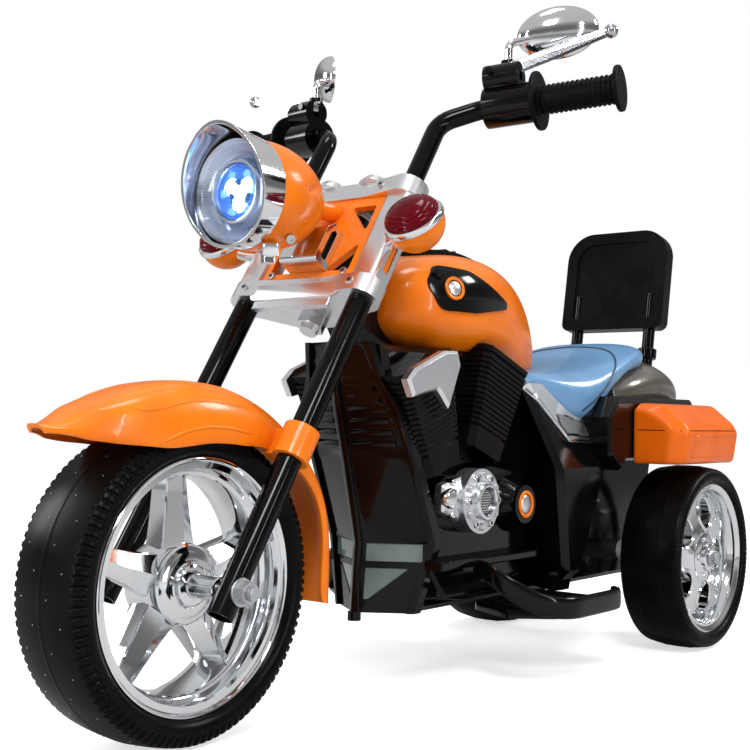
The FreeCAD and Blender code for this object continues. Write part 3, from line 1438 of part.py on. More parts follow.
def footboard():
    """Board with an upturned rim round its front and outer edge, a raised front corner and grip ribs."""
    radii = [0, 20, 26, 8, 8, 0]
    outline = board_outline()
    board = prism_z(outline, radii, board_z, board_z + board_t)
    rim = prism_z(outline, radii, board_z, board_z + board_rim_h)
    well = inset(outline, board_rim_t)
    well = [(x if i not in (0, 5) else x - 30.0, y) for i, (x, y) in enumerate(well)]
    well[4] = (well[4][0], board_rear_y + 20.0)
    well[5] = (well[5][0], board_rear_y + 20.0)
    well_radii = [0, 14, 19, 2, 2, 0]
    rim = rim.cut(prism_z(well, well_radii, board_z - 1.0, board_z + board_rim_h + 1.0))
    board = board.fuse(rim)
    front_inner = V(outline[0][0], outline[0][1], 0)
    front_outer = V(outline[1][0], outline[1][1], 0)
    board = board.fuse(board_horn(front_inner, front_outer - front_inner))
    for i in range(7):
        y = board_front_y + 52.0 + 15.0 * i
        rib_foot = V(70.0, y, board_z + board_t - 0.2)
        board = board.fuse(Part.makeBox(board_outer_x - board_rim_t - 78.0, 3.0, 1.4, rib_foot))
    return board.removeSplitter()


def pedal_place():
    """Middle of the pedal's hinge pin over the right footboard."""
    across = board_outer_x - board_rim_t - 8.0 - pedal_w / 2
    return V(-across, board_front_y + 138.0, board_z + board_t + 7.0)


def pedal_pieces():
    """Ribbed pedal plate on its hinge pin, with the two ears that carry the pin."""
    place = pedal_place()
    outline = [(4.5, 3.5), (-pedal_len, 16.0), (-pedal_len, 16.0 - pedal_t), (-6.0, -3.5), (4.5, -3.5)]
    plate = prism_x(outline, [2, 2, 2, 0, 2], -pedal_w / 2, pedal_w / 2)
    for i in range(5):
        groove_y = -14.0 - 13.0 * i
        groove_z = 3.5 + (16.0 - 3.5) * (4.5 - groove_y) / (pedal_len + 4.5)
        corner = V(6.0 - pedal_w / 2, groove_y - 2.0, groove_z - 1.4)
        plate = plate.cut(Part.makeBox(pedal_w - 12.0, 4.0, 3.0, corner))
    pin_bore = rod(V(-pedal_w, 0, 0), V(pedal_w, 0, 0), pedal_pin_r + running_gap)
    plate = plate.cut(pin_bore)
    plate.translate(place)
    half = pedal_w / 2 + turn_gap + 5.0
    pin = rod(place - V(half, 0, 0), place + V(half, 0, 0), pedal_pin_r)
    ears = []
    for side in (-1, 1):
        x_from = side * (pedal_w / 2 + turn_gap)
        ear_outline = [(-6.0, -7.0), (6.0, -7.0), (6.0, 4.0), (-6.0, 4.0)]
        ear = prism_x(ear_outline, [0, 0, 4, 4], x_from, x_from + side * 5.0)
        ear.translate(place)
        ears.append(ear.cut(rod(place - V(90, 0, 0), place + V(90, 0, 0), pedal_pin_r + running_gap)))
    return plate, pin, ears


# Sealed electrical pieces

def battery():
    """Sealed battery block standing on the body's floor under the seat."""
    corner = V(-battery_w / 2, -175.0, body_floor_z + body_wall + seat_gap)
    return Part.makeBox(battery_w, battery_len, battery_h, corner)


def gearbox_and_motor():
    """Gear housing on the rear axle and the motor that drives it."""
    outline = [(-26.0, 84.0), (30.0, 84.0), (34.0, 120.0), (12.0, 186.0), (-22.0, 186.0), (-34.0, 120.0)]
    case = prism_x(outline, [8, 8, 10, 8, 8, 10], -26.0, 14.0)
    case = case.cut(rod(V(-60, 0, rear_tyre_r), V(60, 0, rear_tyre_r), axle_r + running_gap))
    start = V(14.0 + seat_gap, -4.0, 160.0)
    motor = rod(start, start + V(motor_len - 14.0, 0, 0), motor_r)
    return [case, motor]


def socket_place():
    """Middle of the charging inlet on the body's rear face, right of the centre."""
    return V(-22.0, body_tail_y, 226.0)


def socket_hole():
    """Hole for the charging inlet's barrel through the body's rear wall."""
    face = socket_place()
    return rod(face - V(0, 20.0, 0), face + V(0, 5.0, 0), socket_bore_r + 3.0 + running_gap)


def charging_socket():
    """Round charging inlet with its bore, facing the rear."""
    face = socket_place()
    barrel = rod(face - V(0, 14.0, 0), face + V(0, seat_gap, 0), socket_bore_r + 3.0)
    barrel = barrel.fuse(rod(face + V(0, seat_gap, 0), face + V(0, 3.0, 0), socket_bore_r + 6.0))
    mouth = face + V(0, 3.0, 0)
    bore = rod(mouth + V(0, 1.0, 0), mouth - V(0, socket_reach, 0), socket_bore_r)
    return barrel.cut(bore).removeSplitter()


def main():
    os.makedirs("parts", exist_ok=True)

    front_tyre = tyre(front_tyre_r, front_tyre_half_w, front_rim_r)
    front_tyre.translate(V(0, front_y, front_tyre_r))
    save("front_tyre", front_tyre)
    save("front_rim", front_rim())
    wheel_place = V(half_track, 0, rear_tyre_r)
    rear_tyre = tyre(rear_tyre_r, rear_tyre_half_w, rear_rim_r)
    rear_tyre.translate(wheel_place)
    rim = rear_rim()
    rim.translate(wheel_place)
    save("rear_tyre_left", rear_tyre)
    save("rear_rim_left", rim)
    save("rear_tyre_right", mirrored(rear_tyre))
    save("rear_rim_right", mirrored(rim))

    save("fork_tubes", fork_tubes())
    save("lower_yoke", lower_yoke())
    save("upper_yoke", upper_yoke())
    save("steering_stem", [steering_stem(), stem_nut()])
    save("fork_sleeves", fork_sleeves())
    save("lamp_bracket", lamp_bracket())
    frame, core = horn_frame_and_core()
    save("horn_frame", frame)
    save("horn_core", core)
    save("headlight_bowl", lamp_bowl())
    save("headlight_bezel", lamp_bezel())
    reflector, lens, bulb = lamp_inside()
    save("headlight_reflector", reflector)
    save("headlight_lens", lens)
    save("headlight_lamp", bulb)
    bowls, rings, lenses = signal_pieces()
    save("signal_bowls", bowls)
    save("signal_rings", rings)
    save("signal_lenses", lenses)
    save("front_fender", front_fender())
    save("front_axle", front_axle_set())
    save("handlebars", both_sides(handlebar()))
    save("grips", both_sides(grip()))
    save("control_pods", both_sides(control_pod()) + both_sides(lever_screw()))
    lever = hand_lever()
    save("hand_lever_left", lever)
    save("hand_lever_right", mirrored(lever))
    mirror, glass = mirror_pieces()
    save("mirror_left", [mirror, glass])
    save("mirror_right", [mirrored(mirror), mirrored(glass)])

    half = body_half()
    save("body_left", half)
    save("body_right", mirrored(half).cut(socket_hole()))
    outline = body_outline()
    save("steering_head", steering_head((outline[0], (-395.0, outline[0][1])), tank(seat_gap)))
    save("bushes", head_bushes() + axle_bushes())
    save("rear_axle", [rear_axle()] + rear_axle_nuts())
    save("front_panel", front_panel())
    save("panel_windows", panel_windows())
    shell, inlay, console = tank_pieces()
    save("fuel_tank", shell)
    save("tank_inlays", both_sides(inlay))
    save("tank_console", console)
    save("power_rocker", rocker_switch(power_switch_place()))
    save("direction_rocker", rocker_switch(direction_switch_place()))
    save("seat", seat_piece())
    save("seat_trims", both_sides(seat_trim()))
    shin = shin_form(0.0).cut(seat_form(2 * turn_gap))
    save("side_panels", both_sides(shin) + both_sides(rear_guard()))
    save("rear_cowl", rear_cowl())
    save("backrest", backrest())
    save("backrest_posts", backrest_posts())
    bag = saddlebag()
    save("saddlebag_left", bag)
    save("saddlebag_right", mirrored(bag))

    front_cylinder = engine_cylinder(front_vee_y, vee_half_angle, front_foot_span, front_top_span)
    rear_cylinder = engine_cylinder(rear_vee_y, -vee_half_angle, rear_foot_span, rear_top_span)
    save("engine_cylinders", both_sides(front_cylinder) + both_sides(rear_cylinder))
    save("engine_cases", both_sides(engine_case()) + both_sides(clutch_cover()))
    cover, bolts = timing_cover()
    bolt_pairs = [copy for bolt in bolts for copy in both_sides(bolt)]
    save("engine_covers", both_sides(rocker_cover()) + both_sides(cover) + bolt_pairs)

    board = footboard()
    plate, pin, ears = pedal_pieces()
    save("footboard_left", board)
    right_board = mirrored(board)
    for ear in ears:
        right_board = right_board.fuse(ear)
    save("footboard_right", [right_board.removeSplitter(), pin])
    save("pedal", plate)
    save("battery", battery())
    save("drive_unit", gearbox_and_motor())
    save("charging_socket", charging_socket())


main()
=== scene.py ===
"""Finished look of the children's battery chopper trike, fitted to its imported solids."""
import json
import logging
import math
from dataclasses import dataclass
from enum import Enum
from typing import Callable, Iterable, Optional, Sequence

import bmesh
import bpy
from mathutils import Matrix, Vector
from mathutils.bvhtree import BVHTree


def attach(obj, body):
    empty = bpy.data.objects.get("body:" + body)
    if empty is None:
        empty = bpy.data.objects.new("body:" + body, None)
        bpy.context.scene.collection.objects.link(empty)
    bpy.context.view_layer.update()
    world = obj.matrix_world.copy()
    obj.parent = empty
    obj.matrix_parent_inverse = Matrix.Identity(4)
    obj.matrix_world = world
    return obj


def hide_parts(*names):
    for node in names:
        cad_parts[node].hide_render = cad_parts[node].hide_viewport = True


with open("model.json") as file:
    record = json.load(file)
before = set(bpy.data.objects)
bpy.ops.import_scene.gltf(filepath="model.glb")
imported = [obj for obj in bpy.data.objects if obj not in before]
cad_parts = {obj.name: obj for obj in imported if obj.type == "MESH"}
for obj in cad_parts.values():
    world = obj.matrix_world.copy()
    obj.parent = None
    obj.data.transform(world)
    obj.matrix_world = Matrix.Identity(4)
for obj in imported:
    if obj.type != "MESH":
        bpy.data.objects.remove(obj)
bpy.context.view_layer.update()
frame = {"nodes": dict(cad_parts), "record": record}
LOG = logging.getLogger("trike")
# Metres in a millimetre, the reach that joins points, the angle of sharp edges, the lacquer's roughness
MM = 0.001
JOIN_M = 2e-5
SHARP_DEG = 32.0
COAT_ROUGH = 0.04
SKIN_TREES: dict[str, BVHTree] = {}
TAU = 2 * math.pi
Colour = tuple[float, float, float]
Profile = Sequence[tuple[float, float]]


class Side(Enum):
    """Rider's side of a piece; the value is the sign of x."""
    LEFT = 1
    RIGHT = -1

    @property
    def word(self) -> str:
        """Side as it stands in node names."""
        return self.name.lower()


class Body(Enum):
    """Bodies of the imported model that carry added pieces."""
    CHASSIS = "chassis"
    FORK = "fork"
    FRONT_WHEEL = "front_wheel"
    REAR_LEFT = "rear_wheel_left"
    REAR_RIGHT = "rear_wheel_right"


# Shared shader groups

def fill(node: bpy.types.Node, values: dict) -> None:
    """Set a node's inputs by name or number."""
    for key, value in values.items():
        node.inputs[key].default_value = value


def wire(links: bpy.types.NodeLinks, *runs: tuple) -> None:
    """Link nodes; each run is a node, its output, the next node and its input."""
    for source, output, target, entry in runs:
        links.new(source.outputs[output], target.inputs[entry])


def grain_group() -> bpy.types.NodeTree:
    """Fine surface relief with a slow blotch mask.

    Returns:
        Group with Scale and Blotch inputs, and Height and Mask outputs.
    """
    tree = bpy.data.node_groups.get("surface_grain")
    if tree:
        return tree
    tree = bpy.data.node_groups.new("surface_grain", "ShaderNodeTree")
    for name, default in (("Scale", 900.0), ("Blotch", 28.0)):
        socket = tree.interface.new_socket(name, in_out="INPUT", socket_type="NodeSocketFloat")
        socket.default_value = default
    for name in ("Height", "Mask"):
        tree.interface.new_socket(name, in_out="OUTPUT", socket_type="NodeSocketFloat")
    nodes, links = tree.nodes, tree.links
    entry, leave = nodes.new("NodeGroupInput"), nodes.new("NodeGroupOutput")
    place = nodes.new("ShaderNodeTexCoord")
    fine, slow = nodes.new("ShaderNodeTexNoise"), nodes.new("ShaderNodeTexNoise")
    fine.inputs["Detail"].default_value = 3.0
    slow.inputs["Detail"].default_value = 4.0
    ramp = nodes.new("ShaderNodeMapRange")
    fill(ramp, {"From Min": 0.38, "From Max": 0.68})
    wire(links, (place, "Object", fine, "Vector"), (place, "Object", slow, "Vector"),
                (entry, "Scale", fine, "Scale"), (entry, "Blotch", slow, "Scale"),
                (slow, "Fac", ramp, "Value"), (fine, "Fac", leave, "Height"), (ramp, "Result", leave, "Mask"))
    return tree


def dust_group() -> bpy.types.NodeTree:
    """Thin dust that settles on faces that look up.

    Returns:
        Group with an Amount input and a Mask output.
    """
    tree = bpy.data.node_groups.get("settled_dust")
    if tree:
        return tree
    tree = bpy.data.node_groups.new("settled_dust", "ShaderNodeTree")
    amount = tree.interface.new_socket("Amount", in_out="INPUT", socket_type="NodeSocketFloat")
    amount.default_value = 0.1
    tree.interface.new_socket("Mask", in_out="OUTPUT", socket_type="NodeSocketFloat")
    nodes, links = tree.nodes, tree.links
    entry, leave = nodes.new("NodeGroupInput"), nodes.new("NodeGroupOutput")
    place, facing = nodes.new("ShaderNodeTexCoord"), nodes.new("ShaderNodeSeparateXYZ")
    speck = nodes.new("ShaderNodeTexNoise")
    fill(speck, {"Scale": 160.0, "Detail": 5.0})
    up, thick, out = (nodes.new("ShaderNodeMath") for _ in range(3))
    up.operation, thick.operation, out.operation = "MAXIMUM", "MULTIPLY", "MULTIPLY"
    up.inputs[1].default_value = 0.0
    wire(links, (place, "Normal", facing, "Vector"), (place, "Object", speck, "Vector"), (facing, "Z", up, 0),
                (up, 0, thick, 0), (speck, "Fac", thick, 1), (thick, 0, out, 0), (entry, "Amount", out, 1),
                (out, 0, leave, "Mask"))
    return tree


@dataclass(frozen=True)
class Finish:
    """One surface finish, made into a material on first use.

    The colour drifts to `shade` in slow blotches, and fine grain lifts the surface.
    """
    name: str
    slot: str
    color: Colour
    shade: Colour
    roughness: float
    rough_swing: float = 0.06
    metallic: float = 0.0
    coat: float = 0.0
    grain: float = 0.02
    blotch: float = 28.0
    dust: float = 0.03
    ior: float = 1.5
    transmission: float = 0.0
    glow: float = 0.0
    specular: float = 0.5

    def material(self) -> bpy.types.Material:
        """Material of this finish, built once.

        Returns:
            The material, shared by all pieces of the finish.
        """
        label = self.name + "_finish"
        made = bpy.data.materials.get(label)
        if made:
            return made
        made = bpy.data.materials.new(label)
        made.use_nodes = True
        nodes, links = made.node_tree.nodes, made.node_tree.links
        skin = nodes["Principled BSDF"]
        fill(skin, {"Metallic": self.metallic, "Coat Weight": self.coat, "Coat Roughness": COAT_ROUGH,
                    "IOR": self.ior,
                    "Specular IOR Level": self.specular, "Transmission Weight": self.transmission})
        if self.glow:
            fill(skin, {"Emission Color": (*self.color, 1.0), "Emission Strength": self.glow})
        grain = nodes.new("ShaderNodeGroup")
        grain.node_tree = grain_group()
        grain.inputs["Blotch"].default_value = self.blotch
        drift = nodes.new("ShaderNodeMix")
        drift.data_type = "RGBA"
        fill(drift, {"A": (*self.color, 1.0), "B": (*self.shade, 1.0)})
        wire(links, (grain, "Mask", drift, "Factor"))
        dust = nodes.new("ShaderNodeGroup")
        dust.node_tree = dust_group()
        dust.inputs["Amount"].default_value = self.dust
        settle = nodes.new("ShaderNodeMix")
        settle.data_type = "RGBA"
        settle.inputs["B"].default_value = (0.42, 0.40, 0.37, 1.0)
        wire(links, (dust, "Mask", settle, "Factor"), (drift, "Result", settle, "A"),
                    (settle, "Result", skin, "Base Color"))
        swing = nodes.new("ShaderNodeMapRange")
        fill(swing, {"To Min": self.roughness, "To Max": self.roughness + self.rough_swing})
        wire(links, (grain, "Mask", swing, "Value"), (swing, "Result", skin, "Roughness"))
        relief = nodes.new("ShaderNodeBump")
        fill(relief, {"Strength": self.grain, "Distance": 0.0004})
        wire(links, (grain, "Height", relief, "Height"), (relief, "Normal", skin, "Normal"))
        return made


ORANGE = Finish("orange_gloss", "orange", (0.90, 0.205, 0.004), (0.82, 0.165, 0.003), 0.24, coat=0.15,
                grain=0.01, specular=0.22)
# Darker, redder copy of the orange gloss for the saddlebags: painted shade for bag faces turned away from the
# light.
BAG_ORANGE_PAINTED_SHADE = Finish("bag_orange", "orange", (0.84, 0.150, 0.003), (0.76, 0.120, 0.002), 0.26, coat=0.12,
                    grain=0.01, specular=0.2)
GLOSS_BLACK = Finish("gloss_black", "gloss_black", (0.0015, 0.0015, 0.0017), (0.0026, 0.0026, 0.003), 0.07,
                     dust=0.003, specular=0.22)
SATIN_BLACK = Finish("satin_black", "satin_black", (0.0022, 0.0022, 0.0025), (0.004, 0.004, 0.0045), 0.25,
                     grain=0.05, dust=0.004, specular=0.11)
SEAT_BLUE = Finish("seat_blue", "seat_blue", (0.15, 0.32, 0.55), (0.125, 0.275, 0.485), 0.28, coat=0.3,
                   grain=0.03, specular=0.4)
SEAT_DARK = Finish("seat_piping", "seat_blue", (0.03, 0.045, 0.075), (0.025, 0.035, 0.06), 0.40)
PLATED = Finish("bright_plating", "plated", (0.83, 0.84, 0.86), (0.76, 0.78, 0.80), 0.05, 0.05, metallic=1.0,
                grain=0.008)
LEVER = Finish("lever_plating", "plated", (0.52, 0.53, 0.55), (0.42, 0.43, 0.45), 0.14, 0.06, metallic=1.0,
               grain=0.01)
SILVER = Finish("silver_plating", "silver", (0.82, 0.83, 0.85), (0.74, 0.75, 0.78), 0.28, 0.08, metallic=1.0,
                grain=0.02)
TYRE = Finish("tyre_black", "tyre", (0.0018, 0.0018, 0.002), (0.0035, 0.0035, 0.0037), 0.26, 0.10, grain=0.06,
              dust=0.003, specular=0.07)
RUBBER = Finish("grip_rubber", "rubber", (0.0022, 0.0022, 0.0024), (0.004, 0.004, 0.004), 0.38, grain=0.16,
                dust=0.003, specular=0.07)
TRIM_GREY = Finish("trim_grey", "silver", (0.42, 0.43, 0.45), (0.34, 0.35, 0.37), 0.34, 0.10, metallic=1.0,
                   grain=0.03)
REFLECTOR = Finish("reflector_bright", "plated", (0.66, 0.71, 0.84), (0.58, 0.64, 0.80), 0.16, 0.08,
                   metallic=1.0, grain=0.01)
ZINC = Finish("zinc_plate", "steel", (0.60, 0.61, 0.63), (0.46, 0.47, 0.48), 0.26, 0.14, metallic=1.0,
              grain=0.05)
TUBE_BLACK = Finish("tube_black", "black_steel", (0.0016, 0.0016, 0.0018), (0.003, 0.003, 0.0033), 0.07,
                    dust=0.002, specular=0.14)
MIRROR_SHELL = Finish("mirror_shell", "mirror_plated", (0.82, 0.83, 0.85), (0.74, 0.76, 0.78), 0.06,
                      metallic=1.0)
LENS_CLEAR = Finish("lens_clear", "lens_clear", (0.95, 0.98, 1.0), (0.93, 0.97, 1.0), 0.02, 0.02,
                    transmission=1.0, ior=1.2, dust=0.0)
LENS_EYE = Finish("lens_eye", "lens_clear", (0.80, 0.90, 1.0), (0.72, 0.85, 1.0), 0.10, 0.06,
                  transmission=1.0, ior=1.25, dust=0.0)
LENS_RED = Finish("lens_red", "lens_red", (0.11, 0.001, 0.007), (0.08, 0.001, 0.005), 0.08, dust=0.0,
                  specular=0.12)
LAMP = Finish("lamp_white", "lamp_white", (0.62, 0.82, 1.0), (0.58, 0.78, 1.0), 0.2, glow=5.0, dust=0.0)
LAMP_BLUE = Finish("lamp_blue", "lamp_white", (0.30, 0.55, 1.0), (0.12, 0.34, 0.95), 0.2, glow=1.1, dust=0.0,
                   blotch=60.0)
LAMP_PLATE = Finish("lamp_plate", "lamp_white", (0.10, 0.28, 0.80), (0.03, 0.12, 0.55), 0.3, glow=0.6,
                    dust=0.0, blotch=90.0)
# Panel windows: smoked grey-green with slow darker blotches, partly a painted reflection of the lit floor in
# their gloss.
SMOKED_AND_PAINTED_REFLECTION = Finish("smoked_window", "smoked", (0.16, 0.21, 0.19), (0.05, 0.09, 0.09), 0.06, coat=0.6,
                blotch=14.0)
COWL = Finish("cowl_dark", "cowl_dark", (0.14, 0.125, 0.105), (0.11, 0.097, 0.083), 0.24, metallic=0.4,
              coat=0.5)
NYLON = Finish("nylon_bush", "bush", (0.62, 0.60, 0.55), (0.55, 0.53, 0.48), 0.45)
BATTERY = Finish("battery_case", "battery", (0.05, 0.05, 0.06), (0.07, 0.07, 0.08), 0.5)
SWITCH_RED = Finish("switch_red", "switch_red", (0.42, 0.010, 0.010), (0.36, 0.008, 0.008), 0.25)

NODE_FINISH: dict[str, Finish] = {node: finish for finish, nodes in (
    (ORANGE, "lamp_bracket headlight_bowl front_fender fuel_tank"),
    (BAG_ORANGE_PAINTED_SHADE, "saddlebag_left saddlebag_right"),
    (GLOSS_BLACK,
     "control_pods body_left body_right steering_head front_panel tank_inlays side_panels engine_cases"),
    (SATIN_BLACK,
     "horn_core tank_console direction_rocker backrest engine_cylinders drive_unit charging_socket"),
    (TUBE_BLACK, "fork_tubes handlebars backrest_posts"),
    (SILVER, "lower_yoke upper_yoke steering_stem fork_sleeves engine_covers"),
    (PLATED, "horn_frame headlight_bezel"),
    (LEVER, "hand_lever_left hand_lever_right"),
    (MIRROR_SHELL, "mirror_left mirror_right"),
    (ZINC, "front_axle rear_axle"),
    (RUBBER, "grips pedal"),
    (SEAT_BLUE, "seat"), (TRIM_GREY, "seat_trims"), (COWL, "rear_cowl"), (SMOKED_AND_PAINTED_REFLECTION, "panel_windows"),
    (SWITCH_RED, "power_rocker"), (NYLON, "bushes"), (BATTERY, "battery"),
) for node in nodes.split()}


# Piece making

def place_piece(mesh: bpy.types.Mesh, name: str, body: str, finish: Finish,
                nodes: Iterable[str] = ()) -> bpy.types.Object:
    """Put a finished mesh into the scene as a piece of the part.

    Args:
        mesh: Mesh with its place in its vertices, in metres.
        name: Piece name.
        body: Body that the piece moves with.
        finish: Finish of the whole piece when the mesh has no material yet.
        nodes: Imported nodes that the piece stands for.

    Returns:
        The object, riding on its body.
    """
    piece = bpy.data.objects.new(name, mesh)
    bpy.context.scene.collection.objects.link(piece)
    if not mesh.materials:
        mesh.materials.append(finish.material())
    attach(piece, body)
    if nodes:
        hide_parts(*nodes)
    LOG.info("%s on %s: %d faces", name, body, len(mesh.polygons))
    return piece


def body_of_node(node: str) -> str:
    """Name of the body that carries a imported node.

    Args:
        node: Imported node.

    Returns:
        The body's name.
    """
    for body, members in frame["record"]["behaviour"]["bodies"].items():
        if node in members:
            return body
    raise KeyError(node)


def mesh_tree(mesh: bpy.types.Mesh) -> BVHTree:
    """Search tree over a mesh's faces."""
    return BVHTree.FromPolygons([v.co for v in mesh.vertices], [p.vertices for p in mesh.polygons])


def dressed_copy(node: str, bevel: float, smooth: bool = False, steps: int = 2,
                 reshape: Optional[Callable[[Vector], Vector]] = None) -> None:
    """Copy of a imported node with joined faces, smooth curves and softened edges.

    Args:
        node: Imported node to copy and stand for.
        bevel: Width of the softened edges in metres.
        smooth: The node is freely curved, so its small faces stay.
        steps: Faces across each softened edge.
        reshape: Moves each point, in millimetres.
    """
    mesh = frame["nodes"][node].data.copy()
    mesh.name = node + "_dressed"
    bm = bmesh.new()
    bm.from_mesh(mesh)
    bmesh.ops.remove_doubles(bm, verts=bm.verts, dist=JOIN_M)
    bmesh.ops.dissolve_degenerate(bm, edges=bm.edges, dist=1e-6)
    if not smooth:
        bmesh.ops.dissolve_limit(bm, angle_limit=math.radians(0.6), verts=bm.verts, edges=bm.edges)
    if reshape:
        for vert in bm.verts:
            vert.co = reshape(vert.co / MM) * MM
    bm.to_mesh(mesh)
    bm.free()
    mesh.materials.clear()
    finish = NODE_FINISH[node]
    mesh.materials.append(finish.material())
    mesh.shade_smooth()
    mesh.set_sharp_from_angle(angle=math.radians(SHARP_DEG))
    piece = place_piece(mesh, node + "_dressed", body_of_node(node), finish, [node])
    soft = piece.modifiers.new("soft_edges", "BEVEL")
    soft.width, soft.segments = bevel, steps
    soft.limit_method, soft.angle_limit = "ANGLE", math.radians(SHARP_DEG)
    soft.harden_normals = True


def moulded_copy(node: str, voxel: float, rounds: int) -> None:
    """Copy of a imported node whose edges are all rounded, as in a soft moulding.

    Args:
        node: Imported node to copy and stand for.
        voxel: Size of the even mesh in metres.
        rounds: Smoothing rounds, more for wider edges.
    """
    mesh = frame["nodes"][node].data.copy()
    bm = bmesh.new()
    bm.from_mesh(mesh)
    bmesh.ops.remove_doubles(bm, verts=bm.verts, dist=JOIN_M)
    bm.to_mesh(mesh)
    bm.free()
    seed = bpy.data.objects.new(node + "_seed", mesh)
    bpy.context.scene.collection.objects.link(seed)
    even = seed.modifiers.new("even_mesh", "REMESH")
    even.mode, even.voxel_size = "VOXEL", voxel
    relax = seed.modifiers.new("round_edges", "SMOOTH")
    relax.factor, relax.iterations = 0.5, rounds
    graph = bpy.context.evaluated_depsgraph_get()
    made = bpy.data.meshes.new_from_object(seed.evaluated_get(graph), depsgraph=graph)
    made.name = node + "_moulded"
    bpy.data.objects.remove(seed)
    finish = NODE_FINISH[node]
    made.materials.clear()
    made.materials.append(finish.material())
    made.shade_smooth()
    SKIN_TREES[made.name] = mesh_tree(made)
    place_piece(made, node + "_moulded", body_of_node(node), finish, [node])


# Mesh making

def frame_at(origin: Sequence[float], axis: Sequence[float],
             hint: Sequence[float] = (0.0, 0.0, 1.0)) -> Matrix:
    """Placement whose Z runs along an axis and whose X leans to a hint.

    Args:
        origin: Place of the local origin in millimetres.
        axis: Direction of local Z.
        hint: Direction that local X follows as well as it can.

    Returns:
        The 4x4 placement.
    """
    along = Vector(axis).normalized()
    lean = Vector(hint)
    lean = (lean - along * lean.dot(along)).normalized()
    turn = Matrix((lean, along.cross(lean), along)).transposed().to_4x4()
    return Matrix.Translation(Vector(origin)) @ turn


def ring_points(radius: float, height: float, steps: int) -> list[Vector]:
    """Points evenly round the Z axis."""
    angles = [TAU * i / steps for i in range(steps)]
    return [Vector((radius * math.cos(a), radius * math.sin(a), height)) for a in angles]


def both_ends(half: Profile) -> list[tuple[float, float]]:
    """Turned profile completed with its mirror image."""
    return list(half) + [(-x, r) for x, r in reversed(half)]


def outward(side: Side, x: float, y: float, z: float) -> Matrix:
    """Placement on one side of the part whose Z points outwards."""
    return frame_at((side.value * x, y, z), (side.value, 0.0, 0.0))


